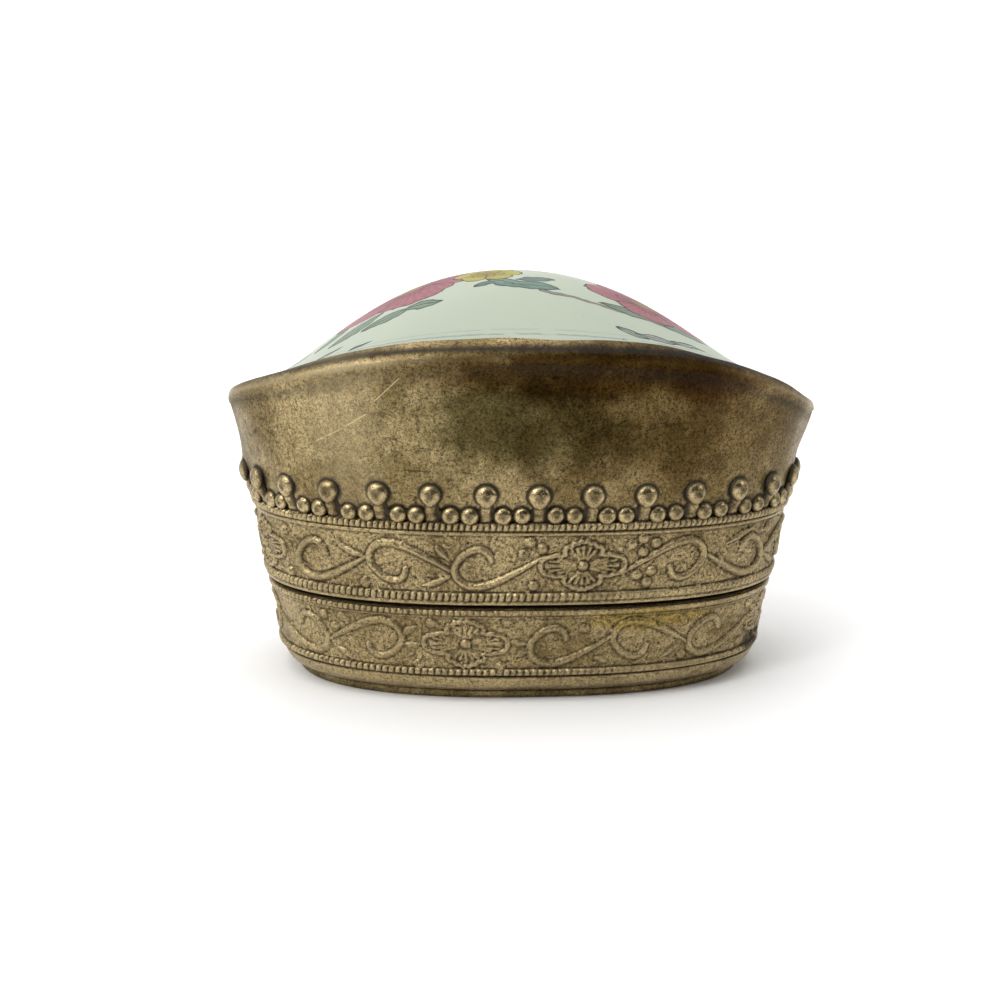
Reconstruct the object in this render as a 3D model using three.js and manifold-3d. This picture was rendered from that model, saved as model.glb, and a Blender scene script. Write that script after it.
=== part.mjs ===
// Oval trinket box of tarnished white metal, with stamped strips round its base and its lid.
// The lid lifts off. Its top is a saddle-cut panel of porcelain, held under a flared metal rim.
// Millimetres, +Z up, front towards -Y. The origin is the middle of the underside.
import * as THREE from 'three';
import { mergeVertices } from 'three/addons/utils/BufferGeometryUtils.js';
import Module from 'manifold-3d';

const wasm = await Module();
wasm.setup();

// Plan of the box: rounded ovals, each one stepped in evenly from the rim all the way round
const rimHalfWidth = 35;
const rimHalfDepth = 24.7;
const depthStep = rimHalfWidth - rimHalfDepth;
const ovalPower = 2.44;
const ringSegments = 36;
const girthSteps = 2000;
const weldDistance = 1e-4;
const gap = 0.3;

// Porcelain panel: its upper face falls away from the crest along the box and across it,
// hollows a little towards the ends, leans higher to the left, and twists up at the front
// corners, at the left ones most
const crestHeight = 47.8;
const longFall = 10.1;
const longSwell = 13.8;
const longLift = 8.5;
const crossFall = 7.75;
const cornerLift = 5.3;
const endHollow = 8.8;
const lean = 1.2;
const twist = 3.6;
const leftTwist = 2.4;
const twistPower = 3;
const panelThickness = 2.6;
const panelHalfWidth = 33.7;
const panelUnderHalfWidth = 32.4;
const panelEdgeDrop = 0.75;
const panelRings = [0.3, 0.56, 0.78, 0.96];
const panelUnderEdge = 2.95;

// Metal lid: a straight skirt, a shoulder under the bead fringe, and a wall that flares to the rim
const lidFoot = 12;
const skirtTop = 21;
const shoulderFoot = 22.6;
const flareFoot = 26.2;
const skirtFootHalfWidth = 30.2;
const skirtTopHalfWidth = 31.5;
const shoulderHalfWidth = 32.5;
const flareFootHalfWidth = 33.5;
const flarePower = 1.4;
const flareRows = [0.4, 0.75, 1];
const sheet = 0.8;
const rimDrop = 0.7;
const rollHalfWidth = 34.6;
const lipHalfWidth = 33.3;
const lipRise = 0.35;
const lipThickness = 0.25;
const lipUnderDrop = 0.4;
const lipUnderHalfWidth = 34.1;
const ledgeHalfWidth = 31.7;

// Base: a bottom plate, and a wall with a plain foot and a collar that the lid drops over
const plateThickness = 0.9;
const plateHalfWidth = 27.7;
const plateBevel = 0.4;
const wallFoot = plateThickness + gap;
const wallFootHalfWidth = 27.9;
const footBelly = 2;
const footBellyHalfWidth = 29.1;
const footTop = 3;
const footHalfWidth = 29.6;
const wallHalfWidth = 28.9;
const wallInnerHalfWidth = 28;
const wallFootInnerHalfWidth = 26.9;
const innerFootTop = 2.4;
const collarTop = 15.6;
const collarBevel = 0.3;

// Stamped strips: a plain field between two rope mouldings, the lid's with a bead fringe above
const lidField = { foot: 13.3, footHalfWidth: 31.2, top: 20, topHalfWidth: 32.15 };
const baseField = { foot: 4.1, footHalfWidth: 29.65, top: 10.5, topHalfWidth: 30.6 };
const ropeRise = 0.6;
const ropeBevel = 0.25;
const baseRopeFoot = footTop + gap;
const baseStripTop = lidFoot - gap;
const lidRopeTop = 21.3;
const fringeTop = 23.9;
const fringeThickness = 0.35;

// Bead fringe: large beads with two small beads between each pair, from the front outwards
const beadPitch = 5.84;
const firstBeadArc = 0.5;
const beadsEachWay = 16;
const bigBead = { radius: 1.35, rise: 0.75, height: 24.75, sides: 6 };
const smallBead = { radius: 1, rise: 0.6, height: 22.5, sides: 4 };
const smallBeadPlaces = [0.316, 0.684];
const beadShoulder = { radius: 0.68, rise: 0.78 };

// Ornament on both strips: flowers 40 mm apart, and three scrolls between each pair
const scrollPitch = 9.4;
const headGap = 7.15;
const patternHalf = 40;
const lidHeadFlower = -34.55;
const baseHeadFlower = -7.3;
const scrollHead = { across: 2.45, up: 2.1, middle: 0.2, from: -0.9, to: 1.4 };
const scrollBend = { out: 1.7, over: 0.1, along: 0.72, up: 0.4 };
const scrollTailDrop = 1;
const scrollSection = { halfWidth: 0.55, rise: 0.45, root: -0.15 };
const scrollSteps = 6;
const routePoints = 28;
const flowerReach = 4.7;
const flowerHeight = 2.7;
const widePetalPart = 0.6;
const shortPetalPart = 0.35;
const petalRise = 0.5;
const boss = { radius: 0.9, rise: 0.75, sides: 6 };
const dot = { radius: 0.6, rise: 0.5, sides: 5 };
// Places of the dots: distance from the flower, and height over the middle of the strip
const dotPlaces = [
  [5.05, 2.4],
  [5.05, -2.4],
  [31.6, 2],
];
const studRoot = 0.15;
const joinMargin = 0.6;

function ovalPoint(halfWidth, turn) {
  const c = Math.cos(turn);
  const s = Math.sin(turn);
  return new THREE.Vector2(
    halfWidth * Math.sign(c) * Math.abs(c) ** (2 / ovalPower),
    (halfWidth - depthStep) * Math.sign(s) * Math.abs(s) ** (2 / ovalPower),
  );
}

// Length round an oval, and the turn at a distance along it from the front middle, towards +X
function measureGirth(halfWidth) {
  const start = -Math.PI / 2;
  const arcs = [0];
  let last = ovalPoint(halfWidth, start);
  for (let step = 1; step <= girthSteps; step += 1) {
    const next = ovalPoint(halfWidth, start + (step / girthSteps) * 2 * Math.PI);
    arcs.push(arcs[step - 1] + next.distanceTo(last));
    last = next;
  }
  const length = arcs[girthSteps];
  const turnAt = (arc) => {
    const wanted = THREE.MathUtils.euclideanModulo(arc, length);
    const step = Math.max(1, arcs.findIndex((value) => value >= wanted));
    const part = (wanted - arcs[step - 1]) / (arcs[step] - arcs[step - 1]);
    return start + ((step - 1 + part) / girthSteps) * 2 * Math.PI;
  };
  return { length, turnAt };
}

const skirtGirth = measureGirth(lidField.topHalfWidth);
const ringTurns = Array.from(
  { length: ringSegments },
  (_, column) => skirtGirth.turnAt((column * skirtGirth.length) / ringSegments),
);

// Point on the flat facet between two columns of the rings
function facetPoint(halfWidth, turn) {
  const found = ringTurns.findIndex((value) => value > turn);
  const next = found < 0 ? ringSegments : found;
  const from = ringTurns[next - 1];
  const to = next === ringSegments ? ringTurns[0] + 2 * Math.PI : ringTurns[next];
  const part = (turn - from) / (to - from);
  return ovalPoint(halfWidth, from).lerp(ovalPoint(halfWidth, to), part);
}

// Height of the porcelain's upper face over a place in the plan
function panelTop(place) {
  const x = place.x / rimHalfWidth;
  const y = place.y / rimHalfDepth;
  const long = x ** 2;
  const cross = y ** 2;
  const fall = long * (longFall + long * (longSwell - long * longLift));
  const inside = 1 - long ** (ovalPower / 2) - cross ** (ovalPower / 2);
  const hollow = (endHollow * long + lean * x) * inside;
  const turned = (twist - leftTwist * x) * long ** twistPower * y;
  return crestHeight - fall - crossFall * cross + cornerLift * long * cross - hollow - turned;
}

function rimLevel(turn) {
  return panelTop(ovalPoint(rimHalfWidth, turn)) - rimDrop;
}

function flareHalfWidth(part) {
  return THREE.MathUtils.lerp(flareFootHalfWidth, rimHalfWidth, part ** flarePower);
}

// Outer half width of the lid's sheet below the flare, by height
function lidHalfWidth(height) {
  if (height < skirtTop) {
    const part = (height - lidFoot) / (skirtTop - lidFoot);
    return THREE.MathUtils.lerp(skirtFootHalfWidth, skirtTopHalfWidth, part);
  }
  if (height < shoulderFoot) {
    const part = (height - skirtTop) / (shoulderFoot - skirtTop);
    return THREE.MathUtils.lerp(skirtTopHalfWidth, shoulderHalfWidth, part);
  }
  const part = (height - shoulderFoot) / (flareFoot - shoulderFoot);
  return THREE.MathUtils.lerp(shoulderHalfWidth, flareFootHalfWidth, part);
}

// Welds a geometry, drops faces with no area, and turns it so that its faces point out
function soundSolid(geometry) {
  geometry.deleteAttribute('normal');
  geometry.deleteAttribute('uv');
  const welded = mergeVertices(geometry, weldDistance);
  const position = welded.getAttribute('position');
  const faces = [];
  let volume = 0;
  const [a, b, c] = [new THREE.Vector3(), new THREE.Vector3(), new THREE.Vector3()];
  for (let i = 0; i < welded.index.count; i += 3) {
    const corners = [0, 1, 2].map((corner) => welded.index.getX(i + corner));
    if (new Set(corners).size === 3) {
      faces.push(corners);
      a.fromBufferAttribute(position, corners[0]);
      b.fromBufferAttribute(position, corners[1]);
      c.fromBufferAttribute(position, corners[2]);
      volume += a.dot(b.cross(c));
    }
  }
  const outward = volume > 0 ? faces : faces.map(([p, q, r]) => [p, r, q]);
  welded.setIndex(outward.flat());
  return welded;
}

// A body of rings round the box. Each row of its profile gives a point for a turn.
function ringSolid(rows) {
  const outline = rows.map((_, row) => new THREE.Vector2(1, row));
  const geometry = new THREE.LatheGeometry(outline, ringSegments);
  const position = geometry.getAttribute('position');
  for (let column = 0; column <= ringSegments; column += 1) {
    const turn = ringTurns[column % ringSegments];
    rows.forEach((row, index) => {
      const place = row(turn);
      position.setXYZ(column * rows.length + index, place.x, place.y, place.z);
    });
  }
  return soundSolid(geometry);
}

// Rows for ring profiles
const level = (halfWidth, height) => (turn) => {
  const place = ovalPoint(halfWidth, turn);
  return new THREE.Vector3(place.x, place.y, height);
};

const onPanel = (halfWidth, scale, offset) => (turn) => {
  const place = ovalPoint(halfWidth, turn).multiplyScalar(scale);
  return new THREE.Vector3(place.x, place.y, panelTop(place) + offset);
};

const onFlare = (part) => (turn) => {
  const place = ovalPoint(flareHalfWidth(part), turn);
  return new THREE.Vector3(place.x, place.y, THREE.MathUtils.lerp(flareFoot, rimLevel(turn), part));
};

// Ledge that the porcelain rests on: from the wall's inside at reach 0 to its edge at reach 1
const onLedge = (reach, drop) => (turn) => {
  const height = panelTop(ovalPoint(panelUnderHalfWidth, turn)) - panelUnderEdge - gap - drop;
  const part = (height - flareFoot) / (rimLevel(turn) - flareFoot);
  const wall = flareHalfWidth(part) - sheet;
  const place = ovalPoint(THREE.MathUtils.lerp(wall, ledgeHalfWidth, reach), turn);
  return new THREE.Vector3(place.x, place.y, height);
};

const closed = (rows) => [...rows, rows[0]];

function porcelainPanel() {
  const upper = panelRings.map((scale) => onPanel(panelHalfWidth, scale, 0));
  const [, underRing, , outerRing] = panelRings;
  return ringSolid([
    onPanel(panelHalfWidth, 0, 0),
    ...upper,
    onPanel(panelHalfWidth, 1, -panelEdgeDrop),
    onPanel(panelUnderHalfWidth, 1, -panelUnderEdge),
    onPanel(panelUnderHalfWidth, outerRing, -panelThickness),
    onPanel(panelUnderHalfWidth, underRing, -panelThickness),
    onPanel(panelUnderHalfWidth, 0, -panelThickness),
  ]);
}

function lidFrame() {
  return ringSolid(closed([
    level(skirtFootHalfWidth, lidFoot),
    level(skirtTopHalfWidth, skirtTop),
    level(shoulderHalfWidth, shoulderFoot),
    level(flareFootHalfWidth, flareFoot),
    ...flareRows.map(onFlare),
    onPanel(rollHalfWidth, 1, 0),
    onPanel(lipHalfWidth, 1, lipRise),
    onPanel(lipHalfWidth, 1, lipRise - lipThickness),
    onPanel(lipUnderHalfWidth, 1, -lipUnderDrop),
    onLedge(0, 0),
    onLedge(1, 0),
    onLedge(1, sheet),
    onLedge(0, sheet),
    level(flareFootHalfWidth - sheet, flareFoot),
    level(skirtTopHalfWidth - sheet, skirtTop),
    level(skirtFootHalfWidth - sheet, lidFoot),
  ]));
}

function basePlate() {
  const middle = (height) => () => new THREE.Vector3(0, 0, height);
  return ringSolid([
    middle(0),
    level(plateHalfWidth - plateBevel, 0),
    level(plateHalfWidth, plateBevel),
    level(plateHalfWidth, plateThickness),
    middle(plateThickness),
  ]);
}

function baseWall() {
  return ringSolid(closed([
    level(wallFootHalfWidth, wallFoot),
    level(footBellyHalfWidth, footBelly),
    level(footHalfWidth, footTop),
    level(wallHalfWidth, footTop),
    level(wallHalfWidth, lidFoot),
    level(wallHalfWidth - collarBevel, collarTop),
    level(wallInnerHalfWidth, collarTop),
    level(wallInnerHalfWidth, innerFootTop),
    level(wallFootInnerHalfWidth, wallFoot),
  ]));
}

// Half width of a strip's plain field, by height
function fieldHalfWidth(field, height) {
  const part = (height - field.foot) / (field.top - field.foot);
  return THREE.MathUtils.lerp(field.footHalfWidth, field.topHalfWidth, part);
}

// Bends a piece of relief round the box, from its arc, height and rise over a half width
function wrapRound(geometry, girth, halfWidthAt) {
  const position = geometry.getAttribute('position');
  for (let i = 0; i < position.count; i += 1) {
    const turn = girth.turnAt(position.getX(i));
    const height = position.getY(i);
    const place = facetPoint(halfWidthAt(height) + position.getZ(i), turn);
    position.setXYZ(i, place.x, place.y, height);
  }
  return soundSolid(geometry);
}

// Low pointed stud with a flat back, sunk a little into the strip
function stud(radius, rise, sides) {
  const outline = [
    new THREE.Vector2(0, -studRoot),
    new THREE.Vector2(radius, -studRoot),
    new THREE.Vector2(0, rise),
  ];
  return new THREE.LatheGeometry(outline, sides).rotateX(Math.PI / 2);
}

// A scroll: a curled head at the left, and a tail that runs over the top and falls to the right
function scroll() {
  const path = new THREE.Path();
  const { across, up, middle, from, to } = scrollHead;
  path.absellipse(across, middle, across, up, from, to, true);
  const top = middle + up;
  path.bezierCurveTo(
    across * scrollBend.out, top + scrollBend.over,
    scrollPitch * scrollBend.along, top * scrollBend.up,
    scrollPitch, -scrollTailDrop,
  );
  const route = path.getSpacedPoints(routePoints).map((p) => new THREE.Vector3(p.x, p.y, 0));
  const { halfWidth, rise, root } = scrollSection;
  const section = new THREE.Shape([
    new THREE.Vector2(-rise, 0),
    new THREE.Vector2(-root, halfWidth),
    new THREE.Vector2(-root, -halfWidth),
  ]);
  return new THREE.ExtrudeGeometry(section, {
    steps: scrollSteps,
    bevelEnabled: false,
    extrudePath: new THREE.CatmullRomCurve3(route),
  });
}

// Four-petal flower: a pair of wide petals across a pair of short ones, with a boss in the middle
function flower() {
  const petal = () => new THREE.OctahedronGeometry(1);
  return [
    petal().scale(flowerReach, flowerHeight * widePetalPart, petalRise),
    petal().scale(flowerReach * shortPetalPart, flowerHeight, petalRise),
    stud(boss.radius, boss.rise, boss.sides),
  ];
}

// Three scrolls with their tails below, above and below, and dots beside the flowers
function scrollRow() {
  const motifs = [-1, 1, -1].map((flip, i) => (
    scroll().scale(1, flip, 1).translate(headGap + i * scrollPitch, 0, 0)
  ));
  const dots = dotPlaces.map(([x, y]) => stud(dot.radius, dot.rise, dot.sides).translate(x, y, 0));
  return [...motifs, ...dots];
}

// The ornament of one strip, laid flat: the rows either side of a flower are half a turn apart
function ornament(headFlower, girth, middle) {
  const limit = girth.length / 2 - joinMargin;
  const laid = [];
  const keep = (geometry, arc) => {
    geometry.translate(arc, middle, 0);
    geometry.computeBoundingBox();
    const { min, max } = geometry.boundingBox;
    if (min.x > -limit && max.x < limit) {
      laid.push(geometry);
    }
  };
  for (let period = -1; period <= 1; period += 1) {
    const head = headFlower + period * 2 * patternHalf;
    flower().forEach((piece) => keep(piece, head));
    flower().forEach((piece) => keep(piece, head + patternHalf));
    scrollRow().forEach((piece) => keep(piece, head));
    scrollRow().forEach((piece) => keep(piece.rotateZ(Math.PI), head));
  }
  return laid;
}

function toManifold(geometry) {
  return new wasm.Manifold(new wasm.Mesh({
    numProp: 3,
    vertProperties: Float32Array.from(geometry.getAttribute('position').array),
    triVerts: Uint32Array.from(geometry.index.array),
  }));
}

function fuse(body, pieces) {
  const whole = pieces.reduce((sum, piece) => sum.add(toManifold(piece)), toManifold(body));
  const mesh = whole.getMesh();
  const geometry = new THREE.BufferGeometry();
  geometry.setAttribute('position', new THREE.BufferAttribute(mesh.vertProperties, 3));
  geometry.setIndex(new THREE.BufferAttribute(mesh.triVerts, 1));
  return geometry;
}

function baseBand() {
  const { foot, footHalfWidth, top, topHalfWidth } = baseField;
  const body = ringSolid(closed([
    level(footHalfWidth + ropeRise / 2, baseRopeFoot),
    level(footHalfWidth + ropeRise, baseRopeFoot + ropeBevel),
    level(footHalfWidth, foot),
    level(topHalfWidth, top),
    level(topHalfWidth + ropeRise, top + ropeBevel),
    level(topHalfWidth + ropeRise, baseStripTop),
    level(wallHalfWidth + gap, baseStripTop),
    level(wallHalfWidth + gap, baseRopeFoot),
  ]));
  const girth = measureGirth((footHalfWidth + topHalfWidth) / 2);
  const halfWidthAt = (height) => fieldHalfWidth(baseField, height);
  const flat = ornament(baseHeadFlower, girth, (foot + top) / 2);
  return fuse(body, flat.map((piece) => wrapRound(piece, girth, halfWidthAt)));
}

// Large round bead with a flat back
function roundBead() {
  const { radius, rise, sides } = bigBead;
  const outline = [
    new THREE.Vector2(0, 0),
    new THREE.Vector2(radius, 0),
    new THREE.Vector2(radius * beadShoulder.radius, rise * beadShoulder.rise),
    new THREE.Vector2(0, rise),
  ];
  return new THREE.LatheGeometry(outline, sides).rotateX(Math.PI / 2);
}

// Beads of the fringe, laid flat
function beadFringe() {
  const beads = [];
  for (let i = -beadsEachWay; i < beadsEachWay; i += 1) {
    const arc = firstBeadArc + i * beadPitch;
    beads.push(roundBead().translate(arc, bigBead.height, fringeThickness - studRoot));
    for (const part of smallBeadPlaces) {
      const small = stud(smallBead.radius, smallBead.rise, smallBead.sides);
      beads.push(small.translate(arc + part * beadPitch, smallBead.height, fringeThickness));
    }
  }
  return beads;
}

function lidBand() {
  const { foot, footHalfWidth, top, topHalfWidth } = lidField;
  const fringeBack = (height) => lidHalfWidth(height) + gap;
  const body = ringSolid(closed([
    level(footHalfWidth + ropeRise, lidFoot),
    level(footHalfWidth + ropeRise, foot - ropeBevel),
    level(footHalfWidth, foot),
    level(topHalfWidth, top),
    level(topHalfWidth + ropeRise, top + ropeBevel),
    level(topHalfWidth + ropeRise, lidRopeTop - ropeBevel),
    level(fringeBack(lidRopeTop) + fringeThickness, lidRopeTop),
    level(fringeBack(fringeTop) + fringeThickness, fringeTop),
    level(fringeBack(fringeTop), fringeTop),
    level(fringeBack(shoulderFoot), shoulderFoot),
    level(fringeBack(skirtTop), skirtTop),
    level(fringeBack(lidFoot), lidFoot),
  ]));
  const fieldGirth = measureGirth((footHalfWidth + topHalfWidth) / 2);
  const fringeGirth = measureGirth(flareFootHalfWidth);
  const halfWidthAt = (height) => fieldHalfWidth(lidField, height);
  const flat = ornament(lidHeadFlower, fieldGirth, (foot + top) / 2);
  const carved = flat.map((piece) => wrapRound(piece, fieldGirth, halfWidthAt));
  const beads = beadFringe().map((piece) => wrapRound(piece, fringeGirth, fringeBack));
  return fuse(body, [...carved, ...beads]);
}

const whiteMetal = { color: 0x96865f, roughness: 0.48, metalness: 0.9 };
const wornMetal = { color: 0x8a7a56, roughness: 0.55, metalness: 0.85 };
const glazedPorcelain = { color: 0xcbd5c6, roughness: 0.12, metalness: 0 };

const pieces = [
  ['base_plate', basePlate(), wornMetal],
  ['base_wall', baseWall(), whiteMetal],
  ['base_band', baseBand(), wornMetal],
  ['lid_frame', lidFrame(), whiteMetal],
  ['lid_band', lidBand(), wornMetal],
  ['porcelain_panel', porcelainPanel(), glazedPorcelain],
];

const trinketBox = new THREE.Group();
for (const [name, geometry, finish] of pieces) {
  const mesh = new THREE.Mesh(geometry, new THREE.MeshStandardMaterial(finish));
  mesh.name = name;
  trinketBox.add(mesh);
}

export default trinketBox;
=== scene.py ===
"""Oval trinket box: tarnished white metal with stamped strips, and a painted porcelain lid panel.

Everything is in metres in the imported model's frame. Shapes are worked out in millimetres first.
"""

import math

import bpy
import numpy as np
from mathutils import Matrix, Vector


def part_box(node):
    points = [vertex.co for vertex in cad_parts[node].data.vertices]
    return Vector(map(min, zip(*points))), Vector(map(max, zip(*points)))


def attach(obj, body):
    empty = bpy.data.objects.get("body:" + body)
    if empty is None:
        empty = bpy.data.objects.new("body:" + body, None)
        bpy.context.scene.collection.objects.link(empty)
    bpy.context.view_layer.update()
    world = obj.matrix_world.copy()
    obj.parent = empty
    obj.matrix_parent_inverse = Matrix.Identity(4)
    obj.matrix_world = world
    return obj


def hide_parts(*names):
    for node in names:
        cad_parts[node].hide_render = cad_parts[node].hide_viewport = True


bl_info = {
    "name": "Oval Trinket Box",
    "version": (1, 0, 0),
    "blender": (4, 5, 0),
    "location": "View3D > Sidebar > Trinket Box",
    "description": "Builds a metal trinket box with stamped strips and a painted porcelain lid",
    "category": "Add Mesh",
}

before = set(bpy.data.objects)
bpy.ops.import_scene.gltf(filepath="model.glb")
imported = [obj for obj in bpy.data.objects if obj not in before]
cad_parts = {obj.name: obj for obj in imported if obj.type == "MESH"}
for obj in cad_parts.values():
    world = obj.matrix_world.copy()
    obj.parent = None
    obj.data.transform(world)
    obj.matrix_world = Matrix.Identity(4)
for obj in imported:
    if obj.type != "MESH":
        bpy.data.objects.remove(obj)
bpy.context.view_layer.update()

MM = 0.001
WELD = 2e-7

# Plan and levels of the box, in millimetres
DEPTH_STEP = 10.3
OVAL_POWER = 2.44
LONG_FALL = (10.1, 13.8, -8.5)
CROSS_FALL = 7.75
CORNER_LIFT = 5.3
END_HOLLOW = 8.8
LEAN = 1.2
TWIST = 3.6
LEFT_TWIST = 2.4
TWIST_POWER = 3
SKIRT = {"foot": (12.0, 30.2), "top": (21.0, 31.5), "shoulder": (22.6, 32.5), "flare": (26.2, 33.5)}
FLARE_POWER = 1.4
RIM_DROP = 0.7
PANEL_HALF_WIDTH = 33.7
PANEL_UNDER_HALF_WIDTH = 32.4
PANEL_UNDER_EDGE = 2.95
PANEL_THICKNESS = 2.6
LIP_HALF_WIDTH = 33.3
LEDGE_HALF_WIDTH = 31.7
LEDGE_DROP = 3.25
GAP = 0.3
PLATE_HALF_WIDTH = 27.7
PLATE_THICKNESS = 0.9
PLATE_EDGE = ((27.2, 0.0), (27.5, 0.1), (27.65, 0.4), (27.7, 0.7), (27.6, 0.9))
WALL_HALF_WIDTH = 28.9
RIM_ROLL = (
    (34.97, -1.15, 0.4), (34.98, -0.5, 0.45), (34.65, 0.08, 0.45), (34.0, 0.3, 0.4),
    (33.3, 0.32, 0.15), (33.3, 0.05, 0), (34.1, -0.4, 0),
)
FIRST_BEAD = 0.5
BIG_BEAD_HEIGHT = 24.75
SMALL_BEAD_HEIGHT = 22.5
SMALL_BEAD_PLACES = (0.316, 0.684)
BEADS_EACH_WAY = 16
BEAD_SEED = 7

# Corners of the base wall's outline: half width, height and radius. What lies outside
# WALL_FACE_FROM is its face.
WALL_PROFILE = (
    (27.8, 1.02, 0.2), (29.05, 1.8, 0.8), (29.6, 3.0, 0.5), (29.5, 3.28, 0.1),
    (WALL_HALF_WIDTH, 3.28, 0), (WALL_HALF_WIDTH, 12.0, 0), (28.6, 15.6, 0.12), (28.0, 15.6, 0.12),
    (28.0, 2.4, 0.4), (26.9, 1.1, 0.2),
)
WALL_FACE_FROM = 28.05

# Cells round each plain piece
PLATE_COLUMNS = 288
WALL_COLUMNS = 720
SHELL_COLUMNS = 1152
PANEL_COLUMNS = 384

# Stamped strips. A field gives the height and half width of its foot and of its top. A rope gives
# its middle, half height, rise, pitch, the depth of its notches and how far that varies. A ridge
# gives its middle, half height and rise.
BASE_STRIP = {
    "columns": 1152,
    "rows": 63,
    "seed": 31,
    "foot": 3.3,
    "top": 11.7,
    "field": ((4.1, 29.65), (10.5, 30.6)),
    "ropes": ((3.78, 0.42, 0.42, 0.78, 0.6, 0.3), (11.06, 0.36, 0.36, 0.7, 0.3, 0.3)),
    "ridges": ((11.56, 0.14, 0.3), (10.5, 0.16, 0.14)),
    "rise": 0.66,
    "pebble": 0.13,
    "head": -7.3,
}
LID_STRIP = {
    "columns": 1216,
    "rows": 69,
    "seed": 41,
    "foot": 12.0,
    "top": 21.62,
    "field": ((13.3, 31.2), (20.0, 32.15)),
    "ropes": ((13.02, 0.5, 0.42, 0.76, 0.45, 0.32), (21.12, 0.44, 0.48, 0.66, 0.75, 0.2)),
    "ridges": ((12.25, 0.26, 0.3), (20.34, 0.22, 0.2)),
    "rise": 0.9,
    "pebble": 0.2,
    "head": -34.55,
}

# Ornament, in millimetres along the strip and above its middle
PATTERN_LENGTH = 80.0
HEAD_GAP = 7.15
SCROLL_PITCH = 9.4
SCROLL = (
    (4.05, -0.55), (3.75, -1.35), (3.1, -1.85), (2.2, -1.85), (1.2, -1.35), (0.4, -0.5),
    (0.0, 0.3), (0.12, 1.2), (0.7, 1.95), (1.6, 2.38), (2.6, 2.42), (3.8, 2.15), (5.2, 1.55),
    (6.6, 0.8), (8.0, 0.0), (9.55, -1.0),
)
SCROLL_WIDTHS = (
    0.34, 0.42, 0.46, 0.46, 0.44, 0.42, 0.42, 0.44, 0.46, 0.5, 0.52, 0.5, 0.46, 0.4, 0.3, 0.16,
)
FLOWER_EDGE = (
    (4.7, 0.0), (4.6, 0.55), (4.15, 0.95), (3.55, 1.05), (3.0, 1.25), (2.4, 1.2), (1.95, 1.3),
    (2.1, 1.75), (1.85, 2.15), (1.4, 2.2), (1.1, 2.55), (0.6, 2.6), (0.3, 2.85), (0.0, 2.7),
)
FLOWER_VEINS = (
    ((0.9, 0.0), (3.9, 0.1)), ((0.9, 0.15), (3.6, 0.6)), ((0.85, 0.3), (2.7, 0.85)),
    ((0.0, 0.85), (0.0, 2.25)), ((0.25, 0.85), (0.75, 2.05)), ((0.4, 0.75), (1.35, 1.75)),
)
LID_DOTS = (
    (5.3, 2.5), (5.3, -2.5), (15.7, -2.4), (34.15, 2.75), (33.45, 1.35), (35.5, 2.0), (34.6, -2.3),
    (45.25, 2.3), (46.55, 2.95), (48.05, 2.35), (46.65, 1.35), (46.15, -1.3), (47.85, -0.85),
    (47.4, -2.25), (64.2, 2.4), (74.8, 2.4), (74.8, -2.5),
)
LID_LEAVES = (
    ((12.7, 2.9), (13.3, 1.7), (14.6, 1.0), (16.2, 0.6)),
    ((22.4, -2.4), (23.9, -2.0), (25.6, -1.1)),
    ((24.1, 2.3), (24.5, 1.6), (25.4, 0.6)),
    ((56.1, 0.5), (56.7, -0.6), (57.5, -1.5)),
    ((57.2, 1.5), (59.0, 2.3), (61.2, 3.0)),
    ((65.0, -1.0), (66.4, -1.7), (67.8, -2.5)),
)
BASE_DOTS = (
    (-16.7, 2.3), (-14.2, 2.3), (-15.3, 1.0), (-3.7, 2.45), (-5.4, -2.6), (4.6, 2.6), (3.9, -2.7),
    (25.2, -2.3), (13.2, 1.8), (35.0, 2.4), (36.6, 1.6), (44.4, 2.3), (45.0, -2.4), (34.4, -2.2),
)
BASE_LEAVES = (
    ((-15.4, -1.5), (-14.3, -2.1), (-13.2, -2.8)),
    ((-7.4, 0.6), (-6.4, 1.4), (-5.4, 2.0)),
    ((-7.0, -0.25), (-6.0, -0.35), (-5.1, -0.2)),
    ((4.9, 0.3), (5.9, 0.1), (6.8, 0.0)),
    ((5.6, -1.6), (6.3, -1.1), (6.9, -0.6)),
    ((15.4, 2.7), (15.9, 1.9), (16.3, 1.2)),
    ((14.6, -1.7), (15.4, -2.1), (16.1, -2.5)),
    ((24.3, 2.8), (24.9, 2.1), (25.3, 1.5)),
    ((22.7, -2.3), (23.7, -1.6), (24.6, -1.0)),
)

# Scratches and pitted lines of the lid's wall, in millimetres across and up
SCRATCHES = (
    ((-23.4, 30.0), (-20.8, 31.4)), ((-20.0, 31.9), (-17.8, 33.3)), ((-16.9, 34.7), (-14.3, 37.2)),
)
DARK_LINES = (
    ((-13.9, 27.4), (-6.5, 27.2)), ((-13.1, 30.0), (-10.3, 29.6)), ((-15.6, 30.9), (-13.2, 30.2)),
    ((4.1, 35.6), (6.7, 35.2)), ((11.8, 31.8), (14.6, 32.4)), ((14.6, 32.4), (17.0, 32.5)),
)

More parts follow.
